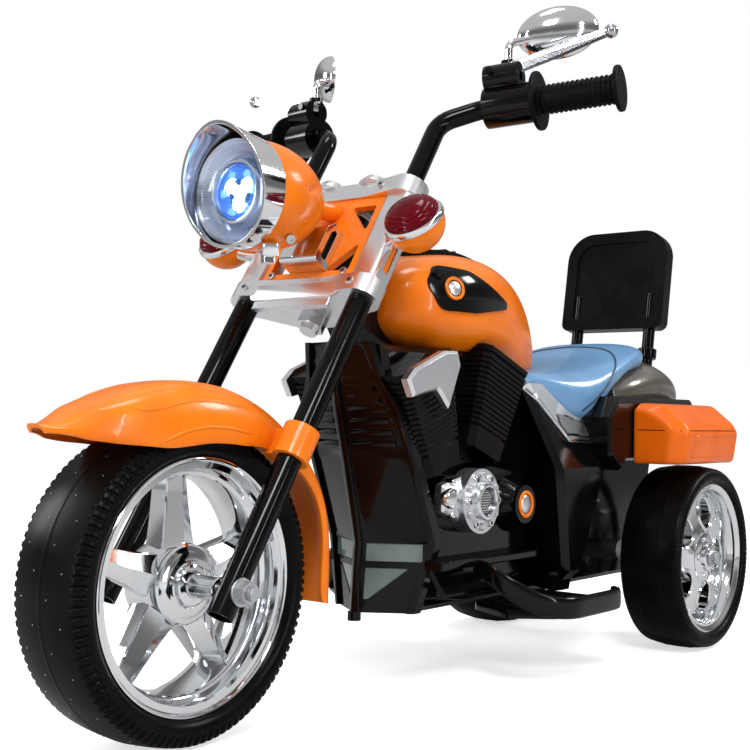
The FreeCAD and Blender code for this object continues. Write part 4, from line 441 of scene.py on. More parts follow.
class Shape:
    """Points and faces gathered for one mesh, in millimetres."""

    def __init__(self) -> None:
        """Start empty."""
        self.points: list[Vector] = []
        self.faces: list[tuple[int, ...]] = []
        self.marks: list[int] = []

    def grid(self, rows: Sequence[Sequence[Vector]], close_rows: bool = False, close_cols: bool = False,
             mark: int = 0) -> None:
        """Lay quads over rows of points.

        Args:
            rows: Rows of equal length.
            close_rows: Join the last row to the first.
            close_cols: Join the last point of each row to its first.
            mark: Material index.
        """
        base, width, count = len(self.points), len(rows[0]), len(rows)
        for row in rows:
            self.points.extend(Vector(p) for p in row)
        for i in range(count if close_rows else count - 1):
            low, high = base + i * width, base + (i + 1) % count * width
            for j in range(width if close_cols else width - 1):
                k = (j + 1) % width
                self.faces.append((low + j, low + k, high + k, high + j))
                self.marks.append(mark)

    def lid(self, ring: Sequence[Vector], mark: int = 0) -> None:
        """Close a ring of points with one face.

        Args:
            ring: Points in order.
            mark: Material index.
        """
        base = len(self.points)
        self.points.extend(Vector(p) for p in ring)
        self.faces.append(tuple(range(base, base + len(ring))))
        self.marks.append(mark)

    def skin(self, rings: Sequence[Sequence[Vector]], mark: int = 0) -> None:
        """Closed skin through rings of points, with a lid at both ends.

        Args:
            rings: Rings of equal length.
            mark: Material index.
        """
        self.grid(rings, close_cols=True, mark=mark)
        self.lid(rings[0], mark)
        self.lid(rings[-1], mark)

    def lathe(self, profile: Profile, place: Matrix, steps: int = 96, mark: int = 0,
              hoop: bool = False) -> None:
        """Turn a profile round the placement's Z axis.

        Args:
            profile: (along, radius) pairs.
            place: Placement of the axis.
            steps: Steps round the axis.
            mark: Material index.
            hoop: The profile closes on itself, as in a hoop.
        """
        rings = [[place @ point for point in ring_points(radius, along, steps)] for along, radius in profile]
        if hoop:
            self.grid(rings, close_rows=True, close_cols=True, mark=mark)
        else:
            self.skin(rings, mark)

    def tube(self, path: Sequence[Sequence[float]], radius: float | Callable[[float], float], steps: int = 14,
             loop: bool = False, flat: float = 1.0, square: float = 1.0) -> None:
        """Sweep a round or flattened section along a path.

        Args:
            path: Points of the middle line.
            radius: Radius, or a function of the share of the way along.
            steps: Points round the section.
            loop: The path closes on itself.
            flat: Ratio of the section's height to its width.
            square: 1 for an oval section, less for one with fuller corners.
        """

        def full(share: float) -> float:
            """Sine or cosine pushed out to the corners."""
            return math.copysign(abs(share) ** square, share)

        points = [Vector(p) for p in path]
        count = len(points)
        rings = []
        for i, point in enumerate(points):
            before = points[i - 1] if i or loop else point
            after = points[(i + 1) % count] if i < count - 1 or loop else point
            place = frame_at(point, after - before)
            size = radius(i / (count - 1)) if callable(radius) else radius
            angles = (TAU * j / steps for j in range(steps))
            section = [(size * flat * full(math.cos(a)), size * full(math.sin(a)), 0.0) for a in angles]
            rings.append([place @ Vector(p) for p in section])
        if loop:
            self.grid(rings, close_rows=True, close_cols=True)
        else:
            self.skin(rings)

    def slab(self, outline: Profile, place: Matrix, depth: float, edge: float) -> None:
        """Flat outline pushed along the placement's Z, its far edge drawn in for a soft corner.

        Args:
            outline: (x, y) pairs in the placement.
            place: Placement of the outline's plane.
            depth: Height of the slab.
            edge: Width of the softened far edge.
        """
        stages = [(0.0, 0.0), (depth - edge, 0.0), (depth - edge * 0.3, edge * 0.3), (depth, edge)]
        rings = []
        for height, draw in stages:
            rings.append([place @ Vector((x, y, height)) for x, y in drawn_in(outline, draw)])
        self.skin(rings)

    def mirrored(self) -> "Shape":
        """Mirror the shape to the other side of the part.

        Returns:
            The new shape.
        """
        twin = Shape()
        twin.points = [Vector((-p.x, p.y, p.z)) for p in self.points]
        twin.faces = [tuple(reversed(face)) for face in self.faces]
        twin.marks = list(self.marks)
        return twin

    def add(self, other: "Shape") -> None:
        """Take in another shape's faces.

        Args:
            other: Shape to take in.
        """
        base = len(self.points)
        self.points.extend(other.points)
        self.faces.extend(tuple(base + i for i in face) for face in other.faces)
        self.marks.extend(other.marks)

    def mesh(self, name: str, finishes: Sequence[Finish], sharp_deg: float = 34.0) -> bpy.types.Mesh:
        """Mesh in metres with joined points, outward faces and smooth curves.

        Args:
            name: Mesh name.
            finishes: One finish for each material index.
            sharp_deg: Angle past which an edge stays sharp.

        Returns:
            The mesh.
        """
        mesh = bpy.data.meshes.new(name)
        mesh.from_pydata([p * MM for p in self.points], [], self.faces)
        for finish in finishes:
            mesh.materials.append(finish.material())
        mesh.polygons.foreach_set("material_index", self.marks)
        bm = bmesh.new()
        bm.from_mesh(mesh)
        bmesh.ops.remove_doubles(bm, verts=bm.verts, dist=1e-6)
        bmesh.ops.dissolve_degenerate(bm, edges=bm.edges, dist=1e-7)
        bmesh.ops.recalc_face_normals(bm, faces=bm.faces)
        bm.to_mesh(mesh)
        bm.free()
        mesh.shade_smooth()
        mesh.set_sharp_from_angle(angle=math.radians(sharp_deg))
        return mesh

    def put(self, name: str, body: Body, finishes: Sequence[Finish], sharp_deg: float = 34.0,
            nodes: Iterable[str] = ()) -> None:
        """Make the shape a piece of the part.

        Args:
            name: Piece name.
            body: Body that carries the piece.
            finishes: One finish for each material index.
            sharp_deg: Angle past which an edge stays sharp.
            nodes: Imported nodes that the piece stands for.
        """
        place_piece(self.mesh(name, finishes, sharp_deg), name, body.value, finishes[0], nodes)


def drawn_in(outline: Profile, distance: float) -> list[tuple[float, float]]:
    """Flat outline with its corners moved inwards by a distance.

    Args:
        outline: (x, y) corners.
        distance: How far each side moves in.

    Returns:
        The new outline.
    """
    if not distance:
        return list(outline)
    count = len(outline)
    area = sum(outline[i - 1][0] * outline[i][1] - outline[i][0] * outline[i - 1][1] for i in range(count))
    side = 1.0 if area > 0 else -1.0
    moved = []
    for i, here in enumerate(outline):
        normals = []
        for a, b in ((outline[i - 1], here), (here, outline[(i + 1) % count])):
            run, rise = b[0] - a[0], b[1] - a[1]
            length = math.hypot(run, rise) or 1.0
            normals.append((-rise / length * side, run / length * side))
        (ax, ay), (bx, by) = normals
        scale = distance / max(0.25, 1 + ax * bx + ay * by)
        moved.append((here[0] + (ax + bx) * scale, here[1] + (ay + by) * scale))
    return moved


def rounded(outline: Profile, radius: float, steps: int = 6) -> list[tuple[float, float]]:
    """Flat outline with each corner turned into a smooth curve.

    Args:
        outline: (x, y) corners.
        radius: How far the curve reaches along each side.
        steps: Points for each corner.

    Returns:
        The new outline.
    """
    count, soft = len(outline), []
    for i, corner in enumerate(outline):
        here = Vector(corner)
        arms = []
        for other in (outline[i - 1], outline[(i + 1) % count]):
            arm = Vector(other) - here
            arms.append(here + arm.normalized() * min(radius, arm.length * 0.5))
        for j in range(steps + 1):
            t = j / steps
            point = arms[0] * (1 - t) ** 2 + here * 2 * t * (1 - t) + arms[1] * t ** 2
            soft.append((point.x, point.y))
    return soft


def smooth_step(low: float, high: float, value: float) -> float:
    """Share from 0 to 1 that eases in and out between two values."""
    t = min(1.0, max(0.0, (value - low) / (high - low)))
    return t * t * (3 - 2 * t)


def table_value(table: Profile, at: float) -> float:
    """Height from a table of places and heights, straight between its rows.

    Args:
        table: (place, height) rows in rising order.
        at: Place to look up.

    Returns:
        The height there.
    """
    for (a, low), (b, high) in zip(table, table[1:]):
        if at <= b:
            return low + (high - low) * (max(at, a) - a) / (b - a)
    return table[-1][1]


def arc_points(a: Sequence[float], middle: Sequence[float], b: Sequence[float], count: int) -> list[Vector]:
    """Points of the flat arc through three points.

    Args:
        a: First point.
        middle: A point on the arc.
        b: Last point.
        count: Steps along the arc.

    Returns:
        The points, both ends included.
    """
    (ax, ay), (mx, my), (bx, by) = a, middle, b
    d = 2 * (ax * (my - by) + mx * (by - ay) + bx * (ay - my))
    ux = ((ax**2 + ay**2) * (my - by) + (mx**2 + my**2) * (by - ay) + (bx**2 + by**2) * (ay - my)) / d
    uy = ((ax**2 + ay**2) * (bx - mx) + (mx**2 + my**2) * (ax - bx) + (bx**2 + by**2) * (mx - ax)) / d
    start, stop = math.atan2(ay - uy, ax - ux), math.atan2(by - uy, bx - ux)
    via = math.atan2(my - uy, mx - ux)
    sweep = (stop - start) % TAU
    if (via - start) % TAU > sweep:
        sweep -= TAU
    radius = math.hypot(ax - ux, ay - uy)
    angles = (start + sweep * i / count for i in range(count + 1))
    return [Vector((ux + radius * math.cos(t), uy + radius * math.sin(t))) for t in angles]


# Repeated pieces by geometry nodes

def set_out_tree() -> bpy.types.NodeTree:
    """Node tree that sets one piece out on every point of a carrier mesh.

    Returns:
        Tree with Piece, Finish and Size inputs; the points' `aim` and `turn` vectors turn each copy.
    """
    tree = bpy.data.node_groups.get("set_out")
    if tree:
        return tree
    tree = bpy.data.node_groups.new("set_out", "GeometryNodeTree")
    face = tree.interface
    face.new_socket("Geometry", in_out="INPUT", socket_type="NodeSocketGeometry")
    face.new_socket("Piece", in_out="INPUT", socket_type="NodeSocketObject")
    face.new_socket("Finish", in_out="INPUT", socket_type="NodeSocketMaterial")
    face.new_socket("Size", in_out="INPUT", socket_type="NodeSocketFloat").default_value = 1.0
    face.new_socket("Geometry", in_out="OUTPUT", socket_type="NodeSocketGeometry")
    nodes, links = tree.nodes, tree.links
    entry, leave = nodes.new("NodeGroupInput"), nodes.new("NodeGroupOutput")
    piece, copies = nodes.new("GeometryNodeObjectInfo"), nodes.new("GeometryNodeInstanceOnPoints")
    turn = nodes.new("FunctionNodeAxesToRotation")
    turn.primary_axis, turn.secondary_axis = "Z", "X"
    for name, socket in (("aim", "Primary Axis"), ("turn", "Secondary Axis")):
        given = nodes.new("GeometryNodeInputNamedAttribute")
        given.data_type = "FLOAT_VECTOR"
        given.inputs["Name"].default_value = name
        wire(links, (given, "Attribute", turn, socket))
    real, paint = nodes.new("GeometryNodeRealizeInstances"), nodes.new("GeometryNodeSetMaterial")
    wire(links, (entry, "Geometry", copies, "Points"), (entry, "Piece", piece, "Object"),
                (piece, "Geometry", copies, "Instance"), (turn, "Rotation", copies, "Rotation"),
                (entry, "Size", copies, "Scale"),
                (copies, "Instances", real, "Geometry"), (real, "Geometry", paint, "Geometry"),
                (entry, "Finish", paint, "Material"), (paint, "Geometry", leave, "Geometry"))
    return tree


def set_out(name: str, pattern: Shape, places: Sequence[Matrix], body: Body, finish: Finish,
            size: float = 1.0) -> None:
    """Repeat a small shape at many places as one piece.

    Args:
        name: Piece name.
        pattern: Shape drawn round its own origin in millimetres.
        places: Placements of the copies in millimetres.
        body: Body that carries the piece.
        finish: Finish of all copies.
        size: Scale of the copies.
    """
    scene = bpy.context.scene
    seed = bpy.data.objects.new(name + "_pattern", pattern.mesh(name + "_pattern", [finish]))
    carrier_mesh = bpy.data.meshes.new(name + "_points")
    carrier_mesh.from_pydata([p.translation * MM for p in places], [], [])
    for label, column in (("aim", 2), ("turn", 0)):
        layer = carrier_mesh.attributes.new(label, "FLOAT_VECTOR", "POINT")
        layer.data.foreach_set("vector", [c for p in places for c in p.to_3x3().col[column].normalized()])
    carrier = bpy.data.objects.new(name + "_points", carrier_mesh)
    scene.collection.objects.link(seed)
    scene.collection.objects.link(carrier)
    tree = set_out_tree()
    modifier = carrier.modifiers.new("set_out", "NODES")
    modifier.node_group = tree
    sockets = {item.name: item.identifier for item in tree.interface.items_tree if item.in_out == "INPUT"}
    modifier[sockets["Piece"]] = seed
    modifier[sockets["Finish"]] = finish.material()
    modifier[sockets["Size"]] = size
    graph = bpy.context.evaluated_depsgraph_get()
    made = bpy.data.meshes.new_from_object(carrier.evaluated_get(graph), depsgraph=graph)
    made.name = name
    bpy.data.objects.remove(carrier)
    bpy.data.objects.remove(seed)
    place_piece(made, name, body.value, finish)


def bolt_shape(radius: float, height: float, socket: float = 0.45) -> Shape:
    """Round-edged bolt head with a sunk hexagon, standing on its origin.

    Args:
        radius: Head radius.
        height: Head height.
        socket: Size of the hexagon as a share of the radius.

    Returns:
        The shape.
    """
    head = Shape()
    steps = 18
    profile = [(-0.6, radius), (height * 0.7, radius), (height, radius * 0.86)]
    rings = [ring_points(r, along, steps) for along, r in profile]
    for depth in (0.0, 0.55):
        ring = []
        for i in range(steps):
            a = TAU * i / steps
            r = radius * socket / math.cos((a % (TAU / 6)) - TAU / 12)
            ring.append(Vector((r * math.cos(a), r * math.sin(a), height * (1 - depth))))
        rings.append(ring)
    head.skin(rings)
    return head


def socket_shape(radius: float, height: float) -> Shape:
    """Dark disc of painted shade that fills the bottom of a bolt's socket, where the recess falls into shade.

    Args:
        radius: Radius of the bolt's head.
        height: Height of the bolt's head.

    Returns:
        The shape.
    """
    disc = Shape()
    low, high, reach = height * 0.40, height * 0.52, radius * 0.42
    disc.lathe([(low, 0.0), (low, reach), (high, reach), (high, 0.0)], Matrix.Identity(4), 12)
    return disc


def round_places(count: int, radius: float, place: Matrix, start_deg: float = 0.0) -> list[Matrix]:
    """Placements evenly round an axis, X pointing outwards and Z along the axis.

    Args:
        count: Number of placements.
        radius: Distance from the axis.
        place: Placement whose Z is the axis.
        start_deg: Turn of the first one.

    Returns:
        The placements.
    """
    spots = []
    for i in range(count):
        turn = Matrix.Rotation(math.radians(start_deg) + TAU * i / count, 4, "Z")
        spots.append(place @ turn @ Matrix.Translation((radius, 0.0, 0.0)))
    return spots


# Wheels

FRONT_AXLE = (0.0, -311.5, 120.0)


@dataclass
class Tyre:
    """Moulded tyre with parting lines and a row of slots round each shoulder."""
    node: str
    body: Body
    centre: tuple[float, float, float]
    radius: float
    half_w: float
    rim_r: float
    slots: int
    slot_half: float
    slot_depth: float
    slot_span: tuple[float, float]
    lines: tuple[float, ...]
    pips: int = 0
    bead_inset: float = 7.75
    bed_depth: float = 8.0
    steps_per_slot: int = 10

    def profile(self) -> list[tuple[float, float, float]]:
        """Section from bead to bead.

        Returns:
            (x, radius, distance from the nearer bead) rows.
        """
        bead_x, shoulder = self.half_w - self.bead_inset, (self.half_w - 5.0, self.radius - 3.0)
        flank_r = (self.rim_r + shoulder[1]) / 2
        flank = arc_points((bead_x, self.rim_r), (self.half_w, flank_r), shoulder, 26)
        tread = arc_points(shoulder, (0.0, self.radius), (-shoulder[0], shoulder[1]), 44)
        half = flank + tread[1:23]
        run, rows = 0.0, []
        for i, point in enumerate(half):
            if i:
                run += (point - half[i - 1]).length
            rows.append((point.x, point.y, run))
        return rows + [(-x, r, run) for x, r, run in reversed(rows[:-1])]

    def slot_cut(self, run: float, across: float) -> float:
        """Depth of the slot pattern at one point of the tyre.

        Args:
            run: Distance from the bead.
            across: Distance from the slot's middle line.

        Returns:
            The depth.
        """
        first, last = self.slot_span
        end = first + self.slot_half
        reach = math.hypot(across, end - run) if run < end else abs(across)
        wall = smooth_step(0.0, 0.8, self.slot_half - reach)
        return self.slot_depth * wall * (1.0 - smooth_step(last - 4.0, last + 1.0, run))

    def build(self) -> None:
        """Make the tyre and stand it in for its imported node."""
        cx, cy, cz = self.centre
        count = self.slots * self.steps_per_slot
        pitch = TAU * self.radius / self.slots
        rows = []
        for x, r, run in self.profile():
            line = max((1.0 - smooth_step(0.15, 0.75, abs(x - at)) for at in self.lines), default=0.0)
            ring = []
            for i in range(count):
                phase = (i % self.steps_per_slot) / self.steps_per_slot - 0.5
                cut = self.slot_cut(run, phase * pitch)
                lift = 0.45 * line - cut
                a = TAU * i / count
                lean = x / self.half_w
                rr = r + lift * (1.0 - 0.55 * abs(lean))
                ring.append(Vector((cx + x + lift * 0.7 * lean, cy + rr * math.sin(a),
                                    cz + rr * math.cos(a))))
            rows.append(ring)
        bed, bead_x = self.rim_r - self.bed_depth, self.half_w - self.bead_inset
        for x in (-bead_x, bead_x):
            angles = (TAU * i / count for i in range(count))
            rows.append([Vector((cx + x, cy + bed * math.sin(a), cz + bed * math.cos(a))) for a in angles])
        shape = Shape()
        shape.grid(rows, close_rows=True, close_cols=True)
        if self.pips:
            self.mould_pips()
        shape.put(self.node + "_moulded", self.body, [TYRE], 50.0, [self.node])

    def mould_pips(self) -> None:
        """Rows of tiny stubs that the mould's vents leave on the tread."""
        pip = Shape()
        pip.lathe([(-0.3, 0.0), (-0.3, 0.7), (0.25, 0.55), (0.4, 0.3), (0.4, 0.0)], Matrix.Identity(4), 6)
        rows = self.profile()
        place = frame_at(self.centre, (1.0, 0.0, 0.0))
        spots = []
        for k, at in enumerate((-21.0, -8.0, 8.0, 21.0)):
            r = min(rows, key=lambda row: abs(row[0] - at))[1]
            row_place = place @ Matrix.Translation((0.0, 0.0, at))
            for spot in round_places(self.pips, r, row_place, 180.0 / self.pips * (k % 2)):
                spots.append(frame_at(spot.translation, spot.to_3x3().col[0], (1.0, 0.0, 0.0)))
        set_out(self.node + "_pips", pip, spots, self.body, TRIM_GREY)


@dataclass
class FrontRim:
    """Plated rim with a stepped barrel, five star spokes and a stepped hub."""
    centre: tuple[float, float, float] = FRONT_AXLE
    seat_r: float = 87.75
    hub_r: float = 31.0
    sleeve_reach: float = 53.9
    spokes: int = 5

    def barrel(self, shape: Shape, place: Matrix) -> None:
        """Hoop with a bright lip and two inner steps on each side.

        Args:
            shape: Shape that takes the faces.
            place: Wheel placement.
        """
        half = [
            (29.5, self.seat_r), (29.5, 95.4), (30.1, 96.4), (31.2, 96.7), (32.2, 96.2), (32.6, 95.2),
            (32.3, 94.0),
            (31.2, 93.1), (29.2, 92.5), (27.8, 91.4), (27.2, 89.9), (26.4, 88.6), (24.8, 87.6), (20.0, 86.3),
            (17.2, 85.4), (16.2, 84.4), (15.7, 83.0), (14.8, 82.2), (12.5, 81.6), (4.0, 80.6),
        ]
        shape.lathe(both_ends(half), place, 144, hoop=True)

    def hub(self, shape: Shape, place: Matrix) -> None:
        """Stepped hub with a plain sleeve out to each fork leg.

        Args:
            shape: Shape that takes the faces.
            place: Wheel placement.
        """
        reach = self.sleeve_reach
        half = [
            (reach, 5.2), (reach, 8.2), (reach - 0.8, 9.0), (28.2, 9.0), (27.0, 9.5), (26.6, 10.6),
            (26.4, 14.2),
            (25.6, 15.6), (22.6, 16.6), (21.6, 17.6), (21.2, 19.4), (20.9, 23.2), (20.0, 24.8), (19.4, 26.6),
            (18.9, 28.8), (17.6, 30.4), (15.4, self.hub_r), (8.0, self.hub_r + 0.6),
        ]
        shape.lathe(both_ends(half), place, 96, hoop=True)

    def spoke(self, shape: Shape, turn: float) -> None:
        """One arm: a tapered blade of flat facets on both sides of a sharp ridge.

        Args:
            shape: Shape that takes the faces.
            turn: Angle of the arm.
        """
        section = [(-14.0, -0.80), (4.0, -1.0), (9.0, -0.92), (14.9, 0.0), (9.0, 0.92), (4.0, 1.0),
                   (-14.0, 0.80)]
        stations = [(25.0, 17.5), (34.0, 15.2), (50.0, 12.6), (68.0, 10.6), (80.0, 9.8), (86.0, 11.4)]
        cx, cy, cz = self.centre
        rings = []
        for r, half in stations:
            share = (r - stations[0][0]) / (stations[-1][0] - stations[0][0])
            ring = []
            for x, across in section:
                face = x - (4.5 * share if x > 4 else 0.0)
                y, z = half * across, r
                ring.append(Vector((cx + face, cy + y * math.cos(turn) + z * math.sin(turn),
                                    cz + z * math.cos(turn) - y * math.sin(turn))))
            rings.append(ring)
        shape.skin(rings)

    def build(self) -> None:
        """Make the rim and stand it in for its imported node."""
        place = frame_at(self.centre, (1.0, 0.0, 0.0))
        shape = Shape()
        self.barrel(shape, place)
        self.hub(shape, place)
        for i in range(self.spokes):
            self.spoke(shape, TAU * i / self.spokes)
        shape.put("front_rim_plated", Body.FRONT_WHEEL, [PLATED], 26.0, ["front_rim"])


@dataclass
class RearRim:
    """Plated rear rim with five petals round open holes, a raised bead round each hole and a bolted cap."""
    side: Side
    axle: tuple[float, float, float] = (125.0, 340.5, 100.0)
    seat_r: float = 72.75
    holes: int = 5
    hole_at: float = 49.0
    hole_r: float = 16.0
    steps: int = 40

    @property
    def body(self) -> Body:
        """Body of the wheel on this side."""
        return Body.REAR_LEFT if self.side is Side.LEFT else Body.REAR_RIGHT

    def place(self) -> Matrix:
        """Wheel placement whose Z points outwards."""
        return outward(self.side, *self.axle)

    def barrel(self, shape: Shape, place: Matrix) -> None:
        """Hoop with a broad bright lip.

        Args:
            shape: Shape that takes the faces.
            place: Wheel placement.
        """
        outer = [
            (26.5, self.seat_r), (26.5, 80.3), (27.2, 81.3), (28.4, 81.6), (29.4, 81.0), (29.8, 79.8),
            (29.4, 78.6),
            (27.6, 77.0), (26.9, 75.4), (25.6, 73.6), (23.2, 72.0), (21.0, 71.0), (17.0, 69.6), (12.0, 68.6),
            (5.0, 68.0),
        ]
        shape.lathe(both_ends(outer), place, 128, hoop=True)

    def face_x(self, r: float) -> float:
        """Outer face of the petal disc at a radius."""
        rows = [(13.0, 24.0), (24.0, 23.0), (29.0, 18.6), (36.0, 16.6), (50.0, 13.6), (64.0, 11.6),
                (72.0, 11.0)]
        return table_value(rows, r)

    def petal_disc(self, shape: Shape, place: Matrix) -> None:
        """Disc sector by sector, each a ring of quads between its hole and its border.

        Args:
            shape: Shape that takes the faces.
            place: Wheel placement.
        """
        wedge = TAU / self.holes
        inner_r, outer_r, back = 24.0, 71.0, 4.0
        for i in range(self.holes):
            mid = wedge * (i + 0.5) + TAU / 4
            hole_mid = Vector((self.hole_at * math.cos(mid), self.hole_at * math.sin(mid)))
            rims: list[list[Vector]] = [[] for _ in range(6)]
            for j in range(self.steps):
                t = TAU * j / self.steps
                reach = Vector((math.cos(t + mid), math.sin(t + mid)))
                border = self.border(hole_mid, reach, mid, wedge / 2, inner_r, outer_r)
                lip = hole_mid + reach * (self.hole_r + 3.4)
                crest = hole_mid + reach * (self.hole_r + 1.6)
                edge = hole_mid + reach * self.hole_r
                stages = ((border, 0.0), (lip, 0.0), (crest, 1.9), (edge, 0.6), (edge, None), (border, None))
                for k, (flat, lift) in enumerate(stages):
                    height = back if lift is None else self.face_x(flat.length) + lift
                    rims[k].append(place @ Vector((flat.x, flat.y, height)))
            shape.grid(rims, close_cols=True)

    @staticmethod
    def border(hole_mid: Vector, reach: Vector, mid: float, half: float, inner_r: float,
               outer_r: float) -> Vector:
        """Where a ray from a hole's middle leaves its sector of the disc.

        Args:
            hole_mid: Middle of the hole.
            reach: Direction of the ray.
            mid: Angle of the sector's middle.
            half: Half the sector's angle.
            inner_r: Inner radius of the disc.
            outer_r: Outer radius of the disc.

        Returns:
            The point on the sector's border.
        """
        best = 200.0
        for turn in (mid - half, mid + half):
            normal = Vector((-math.sin(turn), math.cos(turn)))
            speed = reach.dot(normal)
            if abs(speed) > 1e-6:
                away = -hole_mid.dot(normal) / speed
                if away > 0:
                    best = min(best, away)
        for radius in (inner_r, outer_r):
            b, c = hole_mid.dot(reach), hole_mid.length_squared - radius ** 2
            root = b * b - c
            if root > 0:
                for away in (-b - math.sqrt(root), -b + math.sqrt(root)):
                    if away > 0:
                        best = min(best, away)
        return hole_mid + reach * best

    def hub(self, shape: Shape, place: Matrix) -> None:
        """Stepped cap in the middle and the plain hub behind it.

        Args:
            shape: Shape that takes the faces.
            place: Wheel placement.
        """
        profile = [
            (-30.0, 5.2), (-30.0, 12.4), (-29.2, 13.0), (4.0, 16.0), (4.0, 24.6), (20.2, 26.8), (22.0, 26.2),
            (23.0, 24.6), (23.4, 17.4), (24.2, 15.6), (27.6, 14.6), (28.6, 13.4), (29.0, 11.6), (29.0, 5.2),
        ]
        shape.lathe(profile, place, 72, hoop=True)

    def build(self) -> None:
        """Make the rim, its hub bolts and the round beads between the petals."""
        place = self.place()
        shape = Shape()
        self.barrel(shape, place)
        self.petal_disc(shape, place)
        self.hub(shape, place)
        name = f"rear_rim_{self.side.word}"
        shape.put(name + "_plated", self.body, [PLATED], 30.0, [name])
        bolts = round_places(self.holes, 20.5, place @ Matrix.Translation((0.0, 0.0, 23.0)), 90.0)
        set_out(name + "_bolts", bolt_shape(2.6, 2.2), bolts, self.body, PLATED)
        beads = round_places(self.holes, 62.5, place @ Matrix.Translation((0.0, 0.0, 11.4)), 90.0)
        set_out(name + "_beads", bolt_shape(3.2, 2.6, 0.3), beads, self.body, PLATED)


@dataclass
class Wheels:
    """The three wheels."""

    def build(self) -> None:
        """Make tyres and rims."""
        Tyre("front_tyre", Body.FRONT_WHEEL, FRONT_AXLE, radius=120.0, half_w=37.0, rim_r=96.0,
             slots=104, slot_half=1.8, slot_depth=2.3, slot_span=(15.5, 28.0), lines=(0.0,),
             pips=20, steps_per_slot=9).build()
        FrontRim().build()
        for side in Side:
            rim = RearRim(side)
            x, y, z = rim.axle
            Tyre(f"rear_tyre_{side.word}", rim.body, (side.value * x, y, z), radius=100.0, half_w=34.0,
                 rim_r=81.0,
                 slots=110, slot_half=1.0, slot_depth=0.8, slot_span=(9.0, 20.0), lines=(-12.0, 12.0),
                 steps_per_slot=6).build()
            rim.build()


# Fork, headlight and signals

RAKE = math.radians(32.6)
FORK = Matrix.Translation(FRONT_AXLE) @ Matrix.Rotation(-RAKE, 4, "X")


def fork_place(spot: Sequence[float], axis: Sequence[float],
               hint: Sequence[float] = (1.0, 0.0, 0.0)) -> Matrix:
    """Placement given in the fork's own directions: across, back from the legs and up the legs."""
    return FORK @ frame_at(spot, axis, hint)


def skin_tree(node: str) -> BVHTree:
    """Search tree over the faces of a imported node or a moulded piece, made once.

    Args:
        node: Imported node, or the name of a moulded piece.

    Returns:
        The tree, in metres.
    """
    if node not in SKIN_TREES:
        SKIN_TREES[node] = mesh_tree(frame["nodes"][node].data)
    return SKIN_TREES[node]


def skin_point(node: str, start: Sequence[float], aim: Sequence[float]) -> tuple[Vector, Vector]:
    """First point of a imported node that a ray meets.

    Args:
        node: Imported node.
        start: Ray start in millimetres.
        aim: Ray direction.

    Returns:
        The point in millimetres and the surface direction there.
    """
    spot, normal, _, _ = skin_tree(node).ray_cast(Vector(start) * MM, Vector(aim).normalized())
    if spot is None:
        raise ValueError(f"no {node} ahead of {tuple(start)}")
    return spot / MM, normal


def skin_near(node: str, spot: Sequence[float]) -> tuple[Vector, Vector]:
    """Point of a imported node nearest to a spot, in millimetres, and the surface direction there."""
    point, normal, _, _ = skin_tree(node).find_nearest(Vector(spot) * MM)
    return point / MM, normal


def flank_point(node: str, side: Side, y: float, z: float, start_x: float = 160.0) -> tuple[Vector, Vector]:
    """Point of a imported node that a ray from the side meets, and the surface direction there."""
    return skin_point(node, (side.value * start_x, y, z), (-side.value, 0.0, 0.0))


def through(corners: Sequence[Sequence[float]], steps: int = 6) -> list[Vector]:
    """Smooth path through corner points.

    Args:
        corners: Points that the path passes.
        steps: Points for each run between corners.

    Returns:
        The path, both ends included.
    """
    knots = [Vector(c) for c in corners]
    knots = [knots[0] * 2 - knots[1]] + knots + [knots[-1] * 2 - knots[-2]]
    path = []
    for a, b, c, d in zip(knots, knots[1:], knots[2:], knots[3:]):
        for i in range(steps):
            t = i / steps
            square, cube = 2 * a - 5 * b + 4 * c - d, 3 * b - a - 3 * c + d
            path.append(0.5 * (2 * b + (c - a) * t + square * t ** 2 + cube * t ** 3))
    return path + [knots[-2]]


